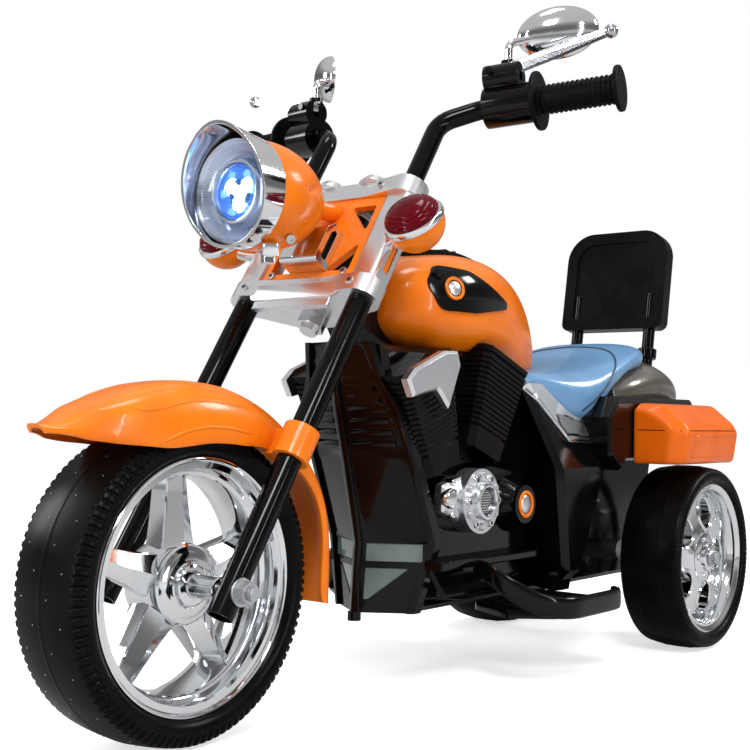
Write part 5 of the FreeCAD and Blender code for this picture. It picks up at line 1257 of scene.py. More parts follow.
@dataclass
class Headlight:
    """Bowl, peaked bezel, clear lens, ribbed reflector and lamp unit."""
    centre: tuple[float, float, float] = (0.0, -257.5, 428.0)
    lens_r: float = 42.6
    flutes: int = 96
    inset: float = 4.2
    dimple: tuple[float, float, float] = (38.0, -201.0, 434.0)

    def place(self, back: float = 0.0) -> Matrix:
        """Placement on the lamp's axis, Z to the front, a distance behind the rim plane."""
        x, y, z = self.centre
        return frame_at((x, y + back, z), (0.0, -1.0, 0.0), (1.0, 0.0, 0.0))

    @property
    def seat(self) -> Matrix:
        """Placement of what lies behind the cover."""
        return self.place(-self.inset)

    def bowl(self) -> None:
        """Bowl with a pressed dimple on each flank."""
        spot = Vector(self.dimple)

        def press(point: Vector) -> Vector:
            """Push the flank in round the dimple.

            Args:
                point: Point of the bowl.

            Returns:
                The moved point.
            """
            off = Vector((abs(point.x), point.y, point.z)) - spot
            reach = math.sqrt((off.y / 15.0) ** 2 + ((off.z - off.y * 0.35) / 5.0) ** 2)
            depth = 3.0 * (1.0 - smooth_step(0.35, 1.0, reach))
            return Vector((point.x - math.copysign(depth, point.x), point.y, point.z))

        dressed_copy("headlight_bowl", 0.0006, smooth=True, reshape=press)

    def lens(self) -> None:
        """Clear domed cover and the round eye lens behind it."""
        shape = Shape()
        inner = [(2.4, 0.0), (1.8, 12.0), (0.2, 24.0), (-2.2, 34.0), (-4.8, 41.0)]
        outer = [(-3.4, 41.4), (-0.8, 34.0), (1.6, 24.0), (3.2, 12.0), (3.8, 0.0)]
        shape.lathe(inner + [(-5.0, self.lens_r), (-3.6, self.lens_r)] + outer, self.place(), 96)
        shape.put("headlight_lens_clear", Body.FORK, [LENS_CLEAR], nodes=["headlight_lens"])
        eye = Shape()
        radii = [21.6 * (1 - i / 30) for i in range(31)]
        swell = [(-7.2 - 4.2 * (r / 21.6) ** 2 + 0.32 * math.cos(r * 1.45), r) for r in radii]
        eye.lathe([(-12.6, 0.0), (-12.6, 21.4)] + swell, self.seat, 64)
        eye.put("headlight_eye", Body.FORK, [LENS_EYE])

    def reflector(self) -> None:
        """Bright cone with fine radial ribs, and the stepped ring round the eye lens."""
        shape = Shape()
        cone = [(-9.0, 42.5), (-9.0, 40.8), (-10.2, 39.6), (-17.0, 28.2), (-17.6, 27.4), (-36.0, 15.0),
                (-38.0, 15.0), (-38.0, 17.0), (-19.0, 38.0), (-16.6, 39.6), (-16.6, 42.5)]
        shape.lathe(cone, self.seat, 96, hoop=True)
        ring = [(-18.0, 27.2), (-12.0, 26.8), (-10.0, 26.0), (-9.2, 24.8), (-9.6, 23.4), (-11.0, 22.6),
                (-12.6, 22.0), (-18.0, 21.8)]
        shape.lathe(ring, self.seat, 80, hoop=True)
        shape.put("headlight_reflector_stepped", Body.FORK, [REFLECTOR], 20.0, ["headlight_reflector"])
        rib = Shape()
        rib.slab([(-2.6, -0.5), (5.4, -0.7), (5.4, 0.7), (-2.6, 0.5)], Matrix.Identity(4), 0.9, edge=0.4)
        spots = []
        for i in range(self.flutes):
            a = TAU * i / self.flutes
            out = Vector((math.cos(a), math.sin(a), 0.0))
            spot = out * 34.0 + Vector((0.0, 0.0, -13.7))
            inwards = out * -0.512 + Vector((0.0, 0.0, 0.859))
            spots.append(self.seat @ frame_at(spot, inwards, out))
        set_out("headlight_flutes", rib, spots, Body.FORK, REFLECTOR)

    def lamp(self) -> None:
        """Lamp unit behind the eye lens: stem, blue plate, dome, three broad lights and six small ones."""
        shape = Shape()
        shape.lathe([(-40.0, 0.0), (-40.0, 7.4), (-35.3, 7.4), (-35.3, 13.0), (-18.4, 21.6), (-16.6, 21.6),
                     (-16.6, 0.0)], self.seat, 64, mark=1)
        dome = [(-16.6, 0.0), (-16.6, 5.4), (-15.4, 5.2), (-13.9, 3.6), (-13.3, 1.6), (-13.2, 0.0)]
        shape.lathe(dome, self.seat, 40)
        shape.put("headlight_lamp_unit", Body.FORK, [LAMP, LAMP_PLATE], 30.0, ["headlight_lamp"])
        plate = self.seat @ Matrix.Translation((0.0, 0.0, -16.6))
        set_out("headlight_near_lights", bolt_shape(6.0, 2.2, 0.3), round_places(3, 9.4, plate, 30.0),
                Body.FORK, LAMP)
        set_out("headlight_far_lights", bolt_shape(3.4, 1.6, 0.3), round_places(6, 16.4, plate), Body.FORK,
                LAMP_BLUE)

    def adjuster(self) -> None:
        """Bright adjuster strap with its screw under the bowl."""
        shape = Shape()
        strap = rounded([(-9.0, -7.0), (9.0, -7.0), (9.0, 7.0), (-9.0, 7.0)], 3.0)
        spot, _ = skin_point("headlight_bowl", (20.0, -232.0, 340.0), (0.0, 0.0, 1.0))
        shape.slab(strap, frame_at(spot - Vector((0.0, 0.0, 9.0)), (0.25, -0.2, 1.0), (0.8, -0.5, 0.0)), 10.0,
                   edge=1.2)
        shape.slab(rounded([(-6.0, -5.0), (6.0, -5.0), (6.0, 5.0), (-6.0, 5.0)], 2.0),
                   frame_at(spot - Vector((0.0, 0.0, 17.0)), (0.0, 0.0, 1.0), (0.8, -0.5, 0.0)), 10.0,
                   edge=1.0)
        shape.put("headlight_adjuster", Body.FORK, [PLATED])
        screw = frame_at(spot + Vector((11.0, 14.0, 4.0)), (0.7, -0.6, -0.3))
        set_out("headlight_adjuster_screw", bolt_shape(4.2, 3.6, 0.4), [screw], Body.FORK, ZINC)

    def build(self) -> None:
        """Make the whole lamp."""
        self.bowl()
        dressed_copy("headlight_bezel", 0.0009, smooth=True)
        self.lens()
        self.reflector()
        self.lamp()
        self.adjuster()


@dataclass
class Signals:
    """The pair of turn signals: orange bowl, bright ring and ribbed red lens on a bright stalk."""
    half_gap: float = 108.0
    ahead: float = 21.0
    along: float = 327.0
    tilt_deg: float = 14.0

    def place(self, side: Side) -> Matrix:
        """Placement at the ring's back face, Z towards the lens."""
        lean = math.radians(90.0 - self.tilt_deg)
        return fork_place((side.value * self.half_gap, -self.ahead, self.along),
                          (0.0, -math.sin(lean), math.cos(lean)))

    def build(self) -> None:
        """Make both signals, with one piece for each finish."""
        bowls, rings, lenses, stalks = Shape(), Shape(), Shape(), Shape()
        for side in Side:
            place = self.place(side)
            angles = [math.pi / 2 * i / 14 for i in range(15)]
            dome = [(-25.0 * math.cos(t), max(0.0, 25.0 * math.sin(t))) for t in angles]
            bowls.lathe(dome + [(0.6, 25.0)], place, 64)
            section = [(0.0, 20.0), (0.0, 25.0), (0.5, 25.9), (1.6, 26.3), (4.6, 26.3), (5.7, 25.7),
                       (6.2, 24.4), (6.2, 20.0)]
            rings.lathe(section, place, 72, hoop=True)
            ripple = [(5.8, 23.8)]
            for i in range(19):
                t = math.pi / 2 * i / 18
                r, h = 23.5 * math.cos(t), 14.6 * math.sin(t)
                swell = 0.3 * (1 if i % 2 else -1) if 0 < i < 16 else 0.0
                ripple.append((6.0 + h + swell * math.sin(t), max(0.0, r + swell * math.cos(t))))
            lenses.lathe([(5.8, 0.0)] + ripple, place, 64)
            x = side.value
            bends = ((x * 77.6, -6.0, 322.6), (x * 84.0, -11.0, 319.6), (x * 92.0, -17.4, 317.8))
            stalks.tube([FORK @ Vector(p) for p in bends], 7.2, 20)
        for name, shape, finish in (("signal_bowls", bowls, ORANGE), ("signal_rings", rings, PLATED),
                                    ("signal_lenses", lenses, LENS_RED)):
            shape.put(name + "_turned", Body.FORK, [finish], 40.0, [name])
        stalks.put("signal_stalks", Body.FORK, [PLATED])


@dataclass
class Mudguard:
    """Front mudguard with a waved skirt, a rolled edge and pressed ridges along its flanks."""
    edge: Profile = ((-441.0, 239.5), (-404.0, 237.5), (-380.0, 234.0), (-356.0, 231.7), (-320.0, 230.8),
                     (-272.0, 226.3), (-258.0, 224.0))
    drop: Profile = ((-441.0, 0.0), (-430.0, 4.5), (-412.0, 9.5), (-395.0, 9.5), (-372.0, 8.0), (-350.0, 8.2),
                     (-315.0, 3.8), (-279.0, 3.2), (-258.0, 0.0))
    skirt: float = 15.0
    ridge_r: float = 1.5

    def waved(self, point: Vector) -> Vector:
        """Draw a point of the skirt down into the wave of the lower edge.

        Args:
            point: Point of the guard.

        Returns:
            The moved point.
        """
        if abs(point.x) > 58.0 or not self.edge[0][0] < point.y < self.edge[-1][0]:
            return point
        share = 1.0 - smooth_step(0.0, self.skirt, point.z - table_value(self.edge, point.y))
        fall = share * table_value(self.drop, point.y)
        return Vector((point.x + math.copysign(0.15 * fall, point.x), point.y, point.z - fall))

    def ridges(self) -> None:
        """Half sunk ridges: a swept eye near the crown and a long wave over the skirt."""
        crown = [(25.0, -388.0, 255.5), (21.1, -378.3, 260.4), (18.7, -362.3, 265.7), (20.1, -345.4, 269.1),
                 (21.4, -327.9, 271.1), (23.5, -304.0, 271.4), (27.0, -280.0, 267.4), (31.0, -262.0, 262.0)]
        flank = [(25.0, -388.0, 255.5), (32.3, -380.6, 252.4), (36.6, -370.2, 250.5), (39.0, -354.6, 252.7),
                 (39.5, -340.3, 256.2), (40.1, -322.0, 258.0), (40.6, -298.9, 257.0), (40.1, -275.8, 253.8),
                 (39.3, -259.6, 249.8)]
        wave = [(37.5, -371.0, 232.6), (42.4, -349.8, 236.9), (44.3, -333.1, 239.3), (45.3, -314.8, 239.8),
                (45.4, -295.1, 238.5), (45.1, -278.3, 235.9), (44.7, -264.8, 233.6)]
        shape = Shape()
        for line in (crown, flank, wave):
            path = []
            for point in through(line, 5):
                spot, normal = skin_near("front_fender", point)
                path.append(self.waved(spot - normal * 0.75))
            shape.tube(path, lambda t: self.ridge_r * (0.35 + 0.65 * min(1.0, 6.0 * t, 6.0 * (1.0 - t))), 12)
        shape.add(shape.mirrored())
        shape.put("fender_ridges", Body.FORK, [ORANGE], 60.0)

    def build(self) -> None:
        """Make the guard and its ridges."""
        dressed_copy("front_fender", 0.0008, smooth=True, reshape=self.waved)
        self.ridges()


@dataclass
class ForkDress:
    """Yokes, leg covers, bracket, horn and legs, with their screws and inlays."""
    half_gap: float = 64.5
    low: float = 283.0
    high: float = 374.0

    def screws(self) -> None:
        """Screws on the yokes and the bracket, with dark discs of painted shade in their sockets."""
        front = (0.0, -1.0, 0.0)
        spots = [fork_place((x, -15.4, 275.0), front) for x in (-60.0, 60.0)]
        spots += [fork_place((x, -13.6, 383.0), front) for x in (-44.0, 44.0)]
        spots += [fork_place((x, -9.0, 291.0), front) for x in (-41.0, 41.0)]
        set_out("yoke_screws", bolt_shape(3.6, 2.4), spots, Body.FORK, ZINC)
        # Dark discs in the screw sockets: painted shade in the recesses.
        set_out("yoke_sockets", socket_shape(3.6, 2.4), spots, Body.FORK, SATIN_BLACK)

    def slot_inlays(self) -> None:
        """Orange strips behind the slots of the leg covers."""
        shape = Shape()
        span = self.high - self.low
        for side in Side:
            for start, stop in ((0.12, 0.42), (0.55, 0.85)):
                middle = self.low + span * (start + stop) / 2
                half = span * (stop - start) / 2 - 0.6
                spot = (side.value * (self.half_gap + 11.2), 0.0, middle)
                place = fork_place(spot, (side.value, 0.0, 0.0), (0.0, 0.0, 1.0))
                strip = rounded([(-half, -3.0), (half, -3.0), (half, 3.0), (-half, 3.0)], 1.2, 3)
                shape.slab(strip, place, 1.4, edge=0.4)
        shape.put("sleeve_inlays", Body.FORK, [ORANGE])

    def yoke_caps(self) -> None:
        """Stepped front plate on the lower yoke and a domed stem cap."""
        shape = Shape()
        outline = rounded([(-47.0, -10.5), (47.0, -10.5), (56.0, 6.0), (-56.0, 6.0)], 5.0)
        shape.slab(outline, fork_place((0.0, -13.0, 271.0), (0.0, -1.0, 0.0)), 1.8, edge=0.8)
        shape.lathe([(0.0, 0.0), (0.0, 15.4), (1.0, 16.2), (9.0, 15.2), (12.4, 13.6), (13.4, 11.6),
                     (13.7, 6.0), (13.7, 0.0)], fork_place((0.0, 20.0, 391.2), (0.0, 0.0, 1.0)), 64)
        shape.put("yoke_caps", Body.FORK, [SILVER], 30.0)

    def build(self) -> None:
        """Dress every fixed piece of the fork."""
        for node in ("lower_yoke", "upper_yoke", "fork_sleeves"):
            dressed_copy(node, 0.0014)
        for node in ("steering_stem", "lamp_bracket", "horn_frame", "horn_core", "fork_tubes", "front_axle"):
            dressed_copy(node, 0.0008)
        self.screws()
        self.slot_inlays()
        self.yoke_caps()


# Cockpit

GRIP_SWEEP, GRIP_RISE = math.radians(13.0), math.radians(3.2)
GRIP_AXIS = Vector((math.cos(GRIP_SWEEP) * math.cos(GRIP_RISE), math.sin(GRIP_SWEEP) * math.cos(GRIP_RISE),
                    math.sin(GRIP_RISE)))


@dataclass
class Cockpit:
    """Bars, ribbed grips, control pods, levers and mirrors."""
    elbow: tuple[float, float, float] = (93.5, -36.5, 525.6)
    grip_start: float = 52.5
    grip_len: float = 76.0
    ribs: int = 15

    def grip_ribs(self) -> None:
        """Raised rings round both grips."""
        rib = Shape()
        section = [(-1.1, 11.6), (-0.9, 12.7), (-0.4, 13.2), (0.4, 13.2), (0.9, 12.7), (1.1, 11.6)]
        rib.lathe(section, Matrix.Identity(4), 30, hoop=True)
        spots = []
        for side in Side:
            axis = Vector((side.value * GRIP_AXIS.x, GRIP_AXIS.y, GRIP_AXIS.z))
            foot = Vector((side.value * self.elbow[0], self.elbow[1], self.elbow[2]))
            for i in range(self.ribs):
                out = self.grip_start + 8.0 + (self.grip_len - 16.0) * i / (self.ribs - 1)
                spots.append(frame_at(foot + axis * out, axis))
        set_out("grip_ribs", rib, spots, Body.FORK, RUBBER)

    def build(self) -> None:
        """Dress the cockpit."""
        for node in ("handlebars", "grips"):
            dressed_copy(node, 0.0010)
        dressed_copy("control_pods", 0.0016)
        for side in Side:
            dressed_copy(f"hand_lever_{side.word}", 0.0016)
            dressed_copy(f"mirror_{side.word}", 0.0010, smooth=True)
        self.grip_ribs()


# Body, tank and seat

@dataclass
class TankDress:
    """Tank with its black inlays, ring emblems and switch console."""
    emblem: tuple[float, float] = (-28.5, 367.0)
    emblem_r: float = 11.0

    def emblems(self) -> None:
        """Plain orange ring with a bright disc in the middle of each inlay."""
        shape = Shape()
        y, z = self.emblem
        for side in Side:
            place = frame_at(*flank_point("tank_inlays", side, y, z, 120.0))
            r = self.emblem_r
            section = [(-1.0, r - 3.0), (-1.0, r), (0.7, r), (1.1, r - 0.5), (1.1, r - 2.4), (0.7, r - 3.0)]
            shape.lathe(section, place, 48, hoop=True)
            shape.lathe([(-1.0, 0.0), (-1.0, r - 4.2), (0.4, r - 4.2), (0.9, r - 5.0), (1.2, 0.0)], place, 40,
                        mark=1)
        shape.put("tank_emblems", Body.CHASSIS, [ORANGE, SILVER])

    def build(self) -> None:
        """Dress the tank and its fittings."""
        dressed_copy("fuel_tank", 0.0008, smooth=True)
        dressed_copy("tank_inlays", 0.0005, smooth=True)
        for node in ("tank_console", "power_rocker", "direction_rocker"):
            dressed_copy(node, 0.0006)
        self.emblems()


@dataclass
class SeatDress:
    """Moulded seat with a sunk piping line, and the mesh trim on the side panels under it."""
    mesh_pitch: float = 4.4

    def piping(self) -> None:
        """Dark sewn line up each flank and across the back of the dished seat, ahead of its raised lip."""
        flank = [(74.0, 193.0, 258.4), (79.5, 218.0, 274.0), (81.0, 232.0, 285.0), (80.7, 245.5, 296.2),
                 (77.1, 260.3, 307.7), (64.5, 280.6, 319.5), (48.8, 295.6, 326.8), (29.2, 303.6, 330.4)]
        corners = flank + [(0.0, 308.4, 332.4)] + [(-x, y, z) for x, y, z in reversed(flank)]
        path = []
        for point in through(corners, 5):
            spot, normal = skin_near("seat", point)
            path.append(spot + normal * 0.1)
        shape = Shape()
        shape.tube(path, 1.2, 10)
        shape.put("seat_piping", Body.CHASSIS, [SEAT_DARK])

    def trim_borders(self) -> None:
        """Bright raised edge along the foot of each trim."""
        shape = Shape()
        foot = [(111.5, 279.5), (121.0, 269.0), (135.0, 252.5), (149.0, 236.5), (156.0, 229.0),
                (172.0, 227.2), (212.0, 226.4)]
        for side in Side:
            path = []
            for _, y, z in through([(0.0, y, z) for y, z in foot], 5):
                spot, normal = flank_point("seat_trims", side, y, z)
                path.append(spot + normal * 0.3)
            shape.tube(path, 1.5, 10)
        shape.put("trim_borders", Body.CHASSIS, [PLATED])

    def trim_mesh(self) -> None:
        """Dark field with a lattice of small bright diamonds in the wide end of each trim."""
        foot = ((148.0, 240.0), (155.0, 232.5), (214.0, 229.5))
        head = ((148.0, 254.0), (168.0, 253.0), (214.0, 239.0))
        start, length, lowest, columns, rows = 148.0, 66.0, 227.0, 17, 6
        half, wall, height = self.mesh_pitch * 0.5, 0.6, 1.0
        field, spots = Shape(), []

        def lifted(side: Side, y: float, z: float, lift: float) -> tuple[Vector, Vector]:
            """Spot over the trim's outer face and the face's direction."""
            spot, normal = flank_point("seat_trims", side, y, z)
            return spot + normal * lift, normal

        for side in Side:
            rings = []
            for i in range(columns + 1):
                y = start + length * i / columns
                low, high = table_value(foot, y), table_value(head, y)
                heights = [low + (high - low) * j / rows for j in range(rows + 1)]
                front = [lifted(side, y, z, 0.5)[0] for z in heights]
                rings.append(front + [lifted(side, y, z, -0.6)[0] for z in reversed(heights)])
            field.skin(rings)
            for i in range(32):
                y = start + half * i
                for j in range(i % 2, 14, 2):
                    z = lowest + half * j
                    inside = table_value(foot, y) + half < z < table_value(head, y) - half
                    if inside and start + 1.0 < y < start + length - 2.0:
                        spots.append(frame_at(*lifted(side, y, z, 0.45)))
        field.put("trim_fields", Body.CHASSIS, [SATIN_BLACK])
        diamond = Shape()
        rings = []
        for size, z in ((half, 0.0), (half, height), (half - wall, height), (half - wall, 0.0)):
            corners = ((size, 0.0), (0.0, size), (-size, 0.0), (0.0, -size))
            rings.append([Vector((x, y, z)) for x, y in corners])
        diamond.grid(rings, close_rows=True, close_cols=True)
        set_out("trim_diamonds", diamond, spots, Body.CHASSIS, SILVER)

    def build(self) -> None:
        """Dress the seat and its trims."""
        dressed_copy("seat", 0.0012, smooth=True)
        dressed_copy("seat_trims", 0.0005)
        self.piping()
        self.trim_borders()
        self.trim_mesh()


@dataclass
class EngineDress:
    """Finned cylinders, bright covers with bolts and a honeycomb, and dark covers with ring emblems."""
    flange: tuple[float, float, float] = (76.25, 0.5, 172.0)
    collar_face: float = 78.4
    clutch: tuple[float, float, float] = (78.25, 74.5, 166.0)

    def honeycomb(self) -> None:
        """Fine six-sided mesh in both collars."""
        cell, backs = Shape(), Shape()
        pitch_u, pitch_v, reach = 2.35, 2.7, 11.8
        cell.lathe([(0.0, 1.55), (1.2, 1.55), (1.2, 1.15), (0.0, 1.15)], Matrix.Identity(4), 6, hoop=True)
        spots = []
        for side in Side:
            place = outward(side, self.collar_face, *self.flange[1:])
            for i in range(-6, 7):
                for j in range(-6, 7):
                    u, v = pitch_u * i, pitch_v * (j + (0.5 if i % 2 else 0.0))
                    if math.hypot(u, v) < reach:
                        spots.append(place @ Matrix.Translation((u, v, 0.0)))
            backs.lathe([(-0.1, 0.0), (-0.1, 12.8), (0.3, 12.8), (0.3, 0.0)], place, 40)
            ring = [(4.6, 12.9), (5.6, 13.6), (5.9, 15.2), (5.4, 16.6), (4.2, 17.1), (4.2, 13.2)]
            backs.lathe(ring, place, 56, mark=1, hoop=True)
        set_out("flange_honeycomb", cell, spots, Body.CHASSIS, PLATED)
        backs.put("flange_backs", Body.CHASSIS, [SATIN_BLACK, PLATED])

    def bolts(self) -> None:
        """Socket bolts round both flanges with dark discs of painted shade in their sockets, and a cap with
        two small ones at the end of each wedge.
        """
        spots = []
        for side in Side:
            spots += round_places(6, 23.5, outward(side, *self.flange), 30.0)
        set_out("flange_bolts", bolt_shape(3.7, 3.6, 0.5), spots, Body.CHASSIS, PLATED)
        # Dark discs in the bolt sockets: painted shade in the recesses.
        set_out("flange_sockets", socket_shape(3.9, 3.6), spots, Body.CHASSIS, SATIN_BLACK)
        caps = Shape()
        for side in Side:
            for y, z, r, x in ((-41.5, 176.0, 9.4, 66.0), (-36.0, 190.0, 3.6, 62.5),
                               (-36.0, 161.0, 3.6, 62.5)):
                dome = [(0.0, 0.0), (0.0, r), (6.4, r), (7.8, r * 0.9), (8.2, r * 0.75), (7.4, r * 0.66),
                        (7.8, 0.0)]
                caps.lathe(dome, outward(side, x, y, z), 40)
        caps.put("cover_caps", Body.CHASSIS, [PLATED])

    def emblems(self) -> None:
        """Plain orange ring and bright disc on each dark round cover."""
        shape = Shape()
        for side in Side:
            place = outward(side, *self.clutch)
            section = [(-0.5, 9.6), (-0.5, 13.2), (1.0, 13.2), (1.5, 12.6), (1.5, 10.2), (1.0, 9.6)]
            shape.lathe(section, place, 56, hoop=True)
            shape.lathe([(-0.5, 0.0), (-0.5, 8.6), (0.6, 8.6), (1.3, 7.6), (1.8, 4.0), (2.0, 0.0)], place, 48,
                        mark=1)
        shape.put("cover_emblems", Body.CHASSIS, [ORANGE, SILVER])

    def build(self) -> None:
        """Dress the engine."""
        dressed_copy("engine_cylinders", 0.0005)
        dressed_copy("engine_cases", 0.0014)
        dressed_copy("engine_covers", 0.0009)
        self.honeycomb()
        self.bolts()
        self.emblems()


@dataclass
class BoardDress:
    """Footboards: a floor with a ribbed mat, and a band that sweeps down from the sill and round it."""
    floor_z: float = 66.5
    floor_t: float = 7.5
    ribs: int = 13
    band_half_t: float = 3.5
    band_ratio: float = 2.85
    band: tuple[tuple[float, float, float], ...] = (
        (66.0, 7.0, 112.0), (84.0, 2.0, 107.0), (104.0, 4.0, 95.5), (122.0, 14.0, 84.0), (137.0, 30.0, 78.0),
        (145.0, 50.0, 76.2), (146.5, 76.0, 76.0), (146.5, 124.0, 76.0), (143.5, 140.0, 76.0),
        (135.0, 148.5, 76.0))
    floor: Profile = ((44.5, 34.0), (100.0, 6.0), (140.0, 38.0), (146.0, 70.0), (146.0, 138.0),
                      (134.0, 151.0), (44.5, 151.0))

    def board(self, side: Side) -> None:
        """Floor and band of one board.

        Args:
            side: Side of the board.
        """
        shape = Shape()
        shape.slab(rounded(self.floor, 12.0), Matrix.Translation((0.0, 0.0, self.floor_z)), self.floor_t,
                   edge=1.0)
        shape.tube(through(self.band, 7), lambda t: self.band_half_t * min(1.0, 0.72 + t), 24,
                   flat=self.band_ratio, square=0.55)
        if side is Side.RIGHT:
            shape = shape.mirrored()
        name = f"footboard_{side.word}"
        shape.put(name + "_swept", Body.CHASSIS, [GLOSS_BLACK], 40.0, [name])

    def mat(self) -> None:
        """Ribbed mat on the left board; the pedal has the right one."""
        shape = Shape()
        corners = [(50.0, 46.0), (100.0, 20.0), (132.0, 44.0), (139.0, 70.0), (139.0, 142.0), (50.0, 142.0)]
        mat_z = self.floor_z + self.floor_t - 0.4
        shape.slab(rounded(corners, 10.0), Matrix.Translation((0.0, 0.0, mat_z)), 2.0, edge=0.5)
        shape.put("board_mat", Body.CHASSIS, [RUBBER])
        rib = Shape()
        strip = rounded([(-33.0, -1.6), (33.0, -1.6), (33.0, 1.6), (-33.0, 1.6)], 1.4, 3)
        rib.slab(strip, Matrix.Identity(4), 1.3, edge=0.5)
        rib_z = self.floor_z + self.floor_t + 1.4
        spots = [Matrix.Translation((96.0, 38.0 + 7.9 * i, rib_z)) for i in range(self.ribs)]
        set_out("board_mat_ribs", rib, spots, Body.CHASSIS, RUBBER)

    def build(self) -> None:
        """Make both boards, the mat and the pedal."""
        for side in Side:
            self.board(side)
        dressed_copy("pedal", 0.0012)
        self.mat()


@dataclass
class Saddlebag:
    """Soft-edged bag with a lid line and a raised frame on its outer face."""
    side: Side
    lid_z: float = 239.0
    front: float = 248.5
    rear: float = 406.5
    outer: float = 163.0
    line_r: float = 0.9

    def skin(self, start: Sequence[float], aim: Sequence[float], sink: float) -> Vector:
        """Point a little under the bag's surface where a ray from outside meets it.

        Args:
            start: Ray start for the left bag.
            aim: Ray direction for the left bag.
            sink: Depth under the surface.

        Returns:
            The point on this bag.
        """
        sign = self.side.value
        spot, normal = skin_point(f"saddlebag_{self.side.word}_moulded",
                                  (sign * start[0], start[1], start[2]),
                                  (sign * aim[0], aim[1], aim[2]))
        return spot - normal * sink

    def lines(self) -> None:
        """Sunk lid line round three faces, and the frame of the outer face."""
        lid, rim = Shape(), Shape()
        middle = (self.front + self.rear) / 2
        reach = (self.rear - self.front) / 2 - 8.0
        across, away, sink = (110.0, 120.0, 130.0, 140.0), 40.0, 0.3
        path = [self.skin((x, self.front - away, self.lid_z), (0.0, 1.0, 0.0), sink) for x in across]
        for i in range(-8, 9):
            start = (self.outer + away, middle + reach * i / 8, self.lid_z)
            path.append(self.skin(start, (-1.0, 0.0, 0.0), sink))
        for x in reversed(across):
            path.append(self.skin((x, self.rear + away, self.lid_z), (0.0, -1.0, 0.0), sink))
        lid.tube(path, self.line_r * 0.7, 8)
        lid.put(f"bag_lid_line_{self.side.word}", Body.CHASSIS, [SATIN_BLACK])
        frame_line = rounded([(273.0, 211.0), (387.0, 211.0), (387.0, 234.0), (281.0, 234.0)], 7.0, 6)
        ring = [self.skin((self.outer + away, y, z), (-1.0, 0.0, 0.0), 0.35) for y, z in frame_line]
        rim.tube(ring, self.line_r, 10, loop=True)
        # The frame takes the bags' darker orange, which is painted shade.
        rim.put(f"bag_frame_{self.side.word}", Body.CHASSIS, [BAG_ORANGE_PAINTED_SHADE])

    def build(self) -> None:
        """Make the bag and its lines."""
        moulded_copy(f"saddlebag_{self.side.word}", 0.0014, 34)
        self.lines()


@dataclass
class ShellDress:
    """Body halves, front panel, side panels, cowl, bags, backrest and sealed pieces."""

    def build(self) -> None:
        """Dress the fixed shell."""
        # panel_windows takes the smoked finish, whose grey-green is partly painted reflection.
        for node in ("body_left", "body_right", "front_panel", "panel_windows"):
            dressed_copy(node, 0.0012)
        dressed_copy("side_panels", 0.0050, steps=5)
        dressed_copy("rear_cowl", 0.0010, smooth=True)
        for side in Side:
            Saddlebag(side).build()
        dressed_copy("backrest", 0.0020)
        dressed_copy("backrest_posts", 0.0010)
        for node in ("steering_head", "bushes", "rear_axle", "battery", "drive_unit", "charging_socket"):
            dressed_copy(node, 0.0006)


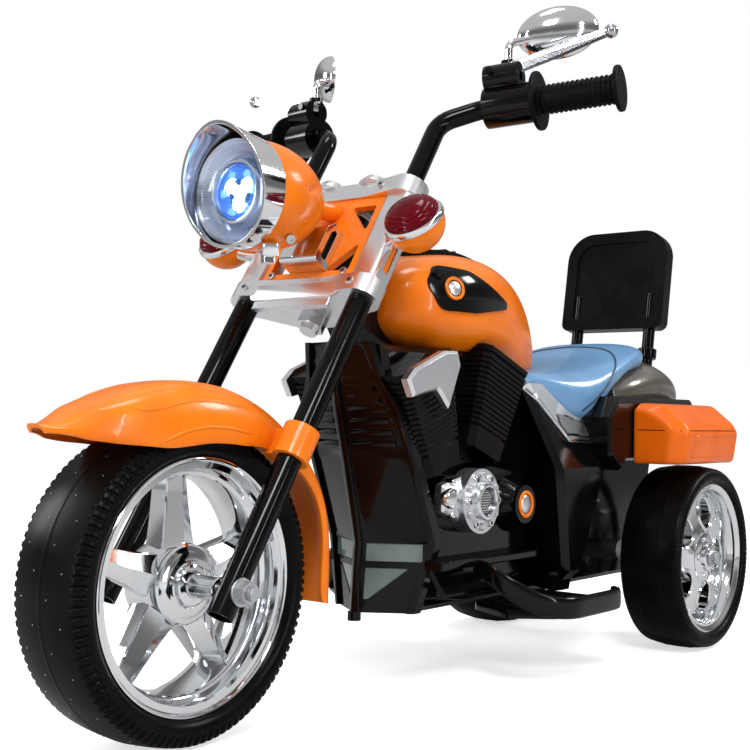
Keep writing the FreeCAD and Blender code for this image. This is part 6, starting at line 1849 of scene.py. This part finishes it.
@dataclass
class Studio:
    """Pale floor, soft lights and the camera at the photograph's view."""
    azimuth_deg: float = 38.315
    pitch_deg: float = 1.927
    roll_deg: float = 0.98
    lens_mm: float = 58.755
    camera_place: tuple[float, float, float] = (0.69908, -0.94997, 0.24872)
    floor_half: float = 14.0
    floor_lift: float = 0.62

    def build(self) -> None:
        """Make the floor, the world, the lights and the camera."""
        self.floor()
        self.world()
        self.lights()
        self.camera()

    def floor(self) -> None:
        """Pale floor that reaches past the view and runs into the white backdrop."""
        mesh = bpy.data.meshes.new("floor")
        h = self.floor_half
        mesh.from_pydata([(-h, -h, 0), (h, -h, 0), (h, h, 0), (-h, h, 0)], [], [(0, 1, 2, 3)])
        floor = bpy.data.objects.new("floor", mesh)
        bpy.context.scene.collection.objects.link(floor)
        pale = bpy.data.materials.new("pale_floor")
        pale.use_nodes = True
        nodes, links = pale.node_tree.nodes, pale.node_tree.links
        skin = nodes["Principled BSDF"]
        fill(skin, {"Roughness": 0.8, "Specular IOR Level": 0.1, "Emission Color": (1.0, 1.0, 1.0, 1.0)})
        path, share = nodes.new("ShaderNodeLightPath"), nodes.new("ShaderNodeMath")
        share.operation = "MULTIPLY"
        share.inputs[1].default_value = self.floor_lift
        tone = nodes.new("ShaderNodeMix")
        tone.data_type = "RGBA"
        fill(tone, {"A": (0.55, 0.55, 0.55, 1.0), "B": (0.86, 0.86, 0.86, 1.0)})
        wire(links, (path, "Is Camera Ray", tone, "Factor"), (tone, "Result", skin, "Base Color"),
                    (path, "Is Camera Ray", share, 0), (share, 0, skin, "Emission Strength"))
        mesh.materials.append(pale)

    def world(self) -> None:
        """Bright overhead light that falls off to a mid grey horizon for crisp reflections."""
        world = bpy.data.worlds.new("studio")
        bpy.context.scene.world = world
        world.use_nodes = True
        nodes, links = world.node_tree.nodes, world.node_tree.links
        back = nodes["Background"]
        place, split = nodes.new("ShaderNodeTexCoord"), nodes.new("ShaderNodeSeparateXYZ")
        ramp = nodes.new("ShaderNodeValToRGB")
        ramp.color_ramp.elements[0].position = 0.0
        ramp.color_ramp.elements[0].color = (0.40, 0.40, 0.40, 1.0)
        ramp.color_ramp.elements[1].position = 1.0
        ramp.color_ramp.elements[1].color = (1.0, 1.0, 1.0, 1.0)
        for position, value in ((0.49, 0.40), (0.50, 0.85), (0.54, 0.80), (0.57, 0.30), (0.65, 0.22),
                                (0.72, 0.45), (0.78, 0.90)):
            stop = ramp.color_ramp.elements.new(position)
            stop.color = (value, value, value, 1.0)
        lift = nodes.new("ShaderNodeMapRange")
        lift.inputs["From Min"].default_value = -1.0
        wire(links, (place, "Generated", split, "Vector"), (split, "Z", lift, "Value"),
                    (lift, "Result", ramp, "Fac"))
        mixer, path = nodes.new("ShaderNodeMixShader"), nodes.new("ShaderNodeLightPath")
        plain = nodes.new("ShaderNodeBackground")
        fill(plain, {"Color": (1.0, 1.0, 1.0, 1.0), "Strength": 1.0})
        back.inputs["Strength"].default_value = 0.6
        wire(links, (ramp, "Color", back, "Color"), (path, "Is Camera Ray", mixer, "Fac"),
                    (back, "Background", mixer, 1), (plain, "Background", mixer, 2))
        links.new(mixer.outputs["Shader"], nodes["World Output"].inputs["Surface"])

    def lights(self) -> None:
        """Soft boxes: a key from the front left, a fill, a rim light, one overhead and two tall strips."""
        for name, place, size, power in (
            ("key", (1.3, -1.6, 2.2), (0.6, 0.6), 35.0),
            ("fill", (-2.3, -1.2, 1.3), (0.6, 0.8), 20.0),
            ("rim", (1.6, 1.9, 1.9), (0.5, 0.5), 24.0),
            ("top", (0.0, 0.0, 2.8), (0.5, 0.9), 17.0),
            ("strip_left", (2.3, -0.2, 0.9), (0.07, 1.6), 14.0),
            ("strip_front", (-0.4, -2.6, 1.0), (0.10, 1.6), 24.0),
        ):
            data = bpy.data.lights.new(name, "AREA")
            data.shape = "RECTANGLE"
            data.size, data.size_y = size
            data.energy = power
            lamp = bpy.data.objects.new(name, data)
            lamp.location = place
            aim = Vector((0.0, 0.0, 0.25)) - Vector(place)
            lamp.rotation_euler = aim.to_track_quat("-Z", "Y").to_euler()
            bpy.context.scene.collection.objects.link(lamp)

    def camera(self) -> None:
        """Camera with the fitted place, turn and lens."""
        az, up, roll = (math.radians(a) for a in (self.azimuth_deg, self.pitch_deg, self.roll_deg))
        ahead = Vector((-math.sin(az) * math.cos(up), math.cos(az) * math.cos(up), math.sin(up)))
        right = Vector((math.cos(az), math.sin(az), 0.0))
        top = right.cross(ahead)
        right_rolled = right * math.cos(roll) + top * math.sin(roll)
        top_rolled = top * math.cos(roll) - right * math.sin(roll)
        data = bpy.data.cameras.new("photo_camera")
        data.lens = self.lens_mm
        data.sensor_width = 36.0
        data.clip_start = 0.02
        camera = bpy.data.objects.new("photo_camera", data)
        turn = Matrix((right_rolled, top_rolled, -ahead)).transposed().to_4x4()
        camera.matrix_world = Matrix.Translation(self.camera_place) @ turn
        bpy.context.scene.collection.objects.link(camera)
        bpy.context.scene.camera = camera
        bpy.context.scene.view_settings.view_transform = "Standard"


def main() -> None:
    """Build the stage and every piece in order."""
    logging.basicConfig(level=logging.INFO)
    Studio().build()
    Wheels().build()
    ForkDress().build()
    Mudguard().build()
    Headlight().build()
    Signals().build()
    Cockpit().build()
    TankDress().build()
    SeatDress().build()
    EngineDress().build()
    BoardDress().build()
    ShellDress().build()


if __name__ == "__main__":
    main()
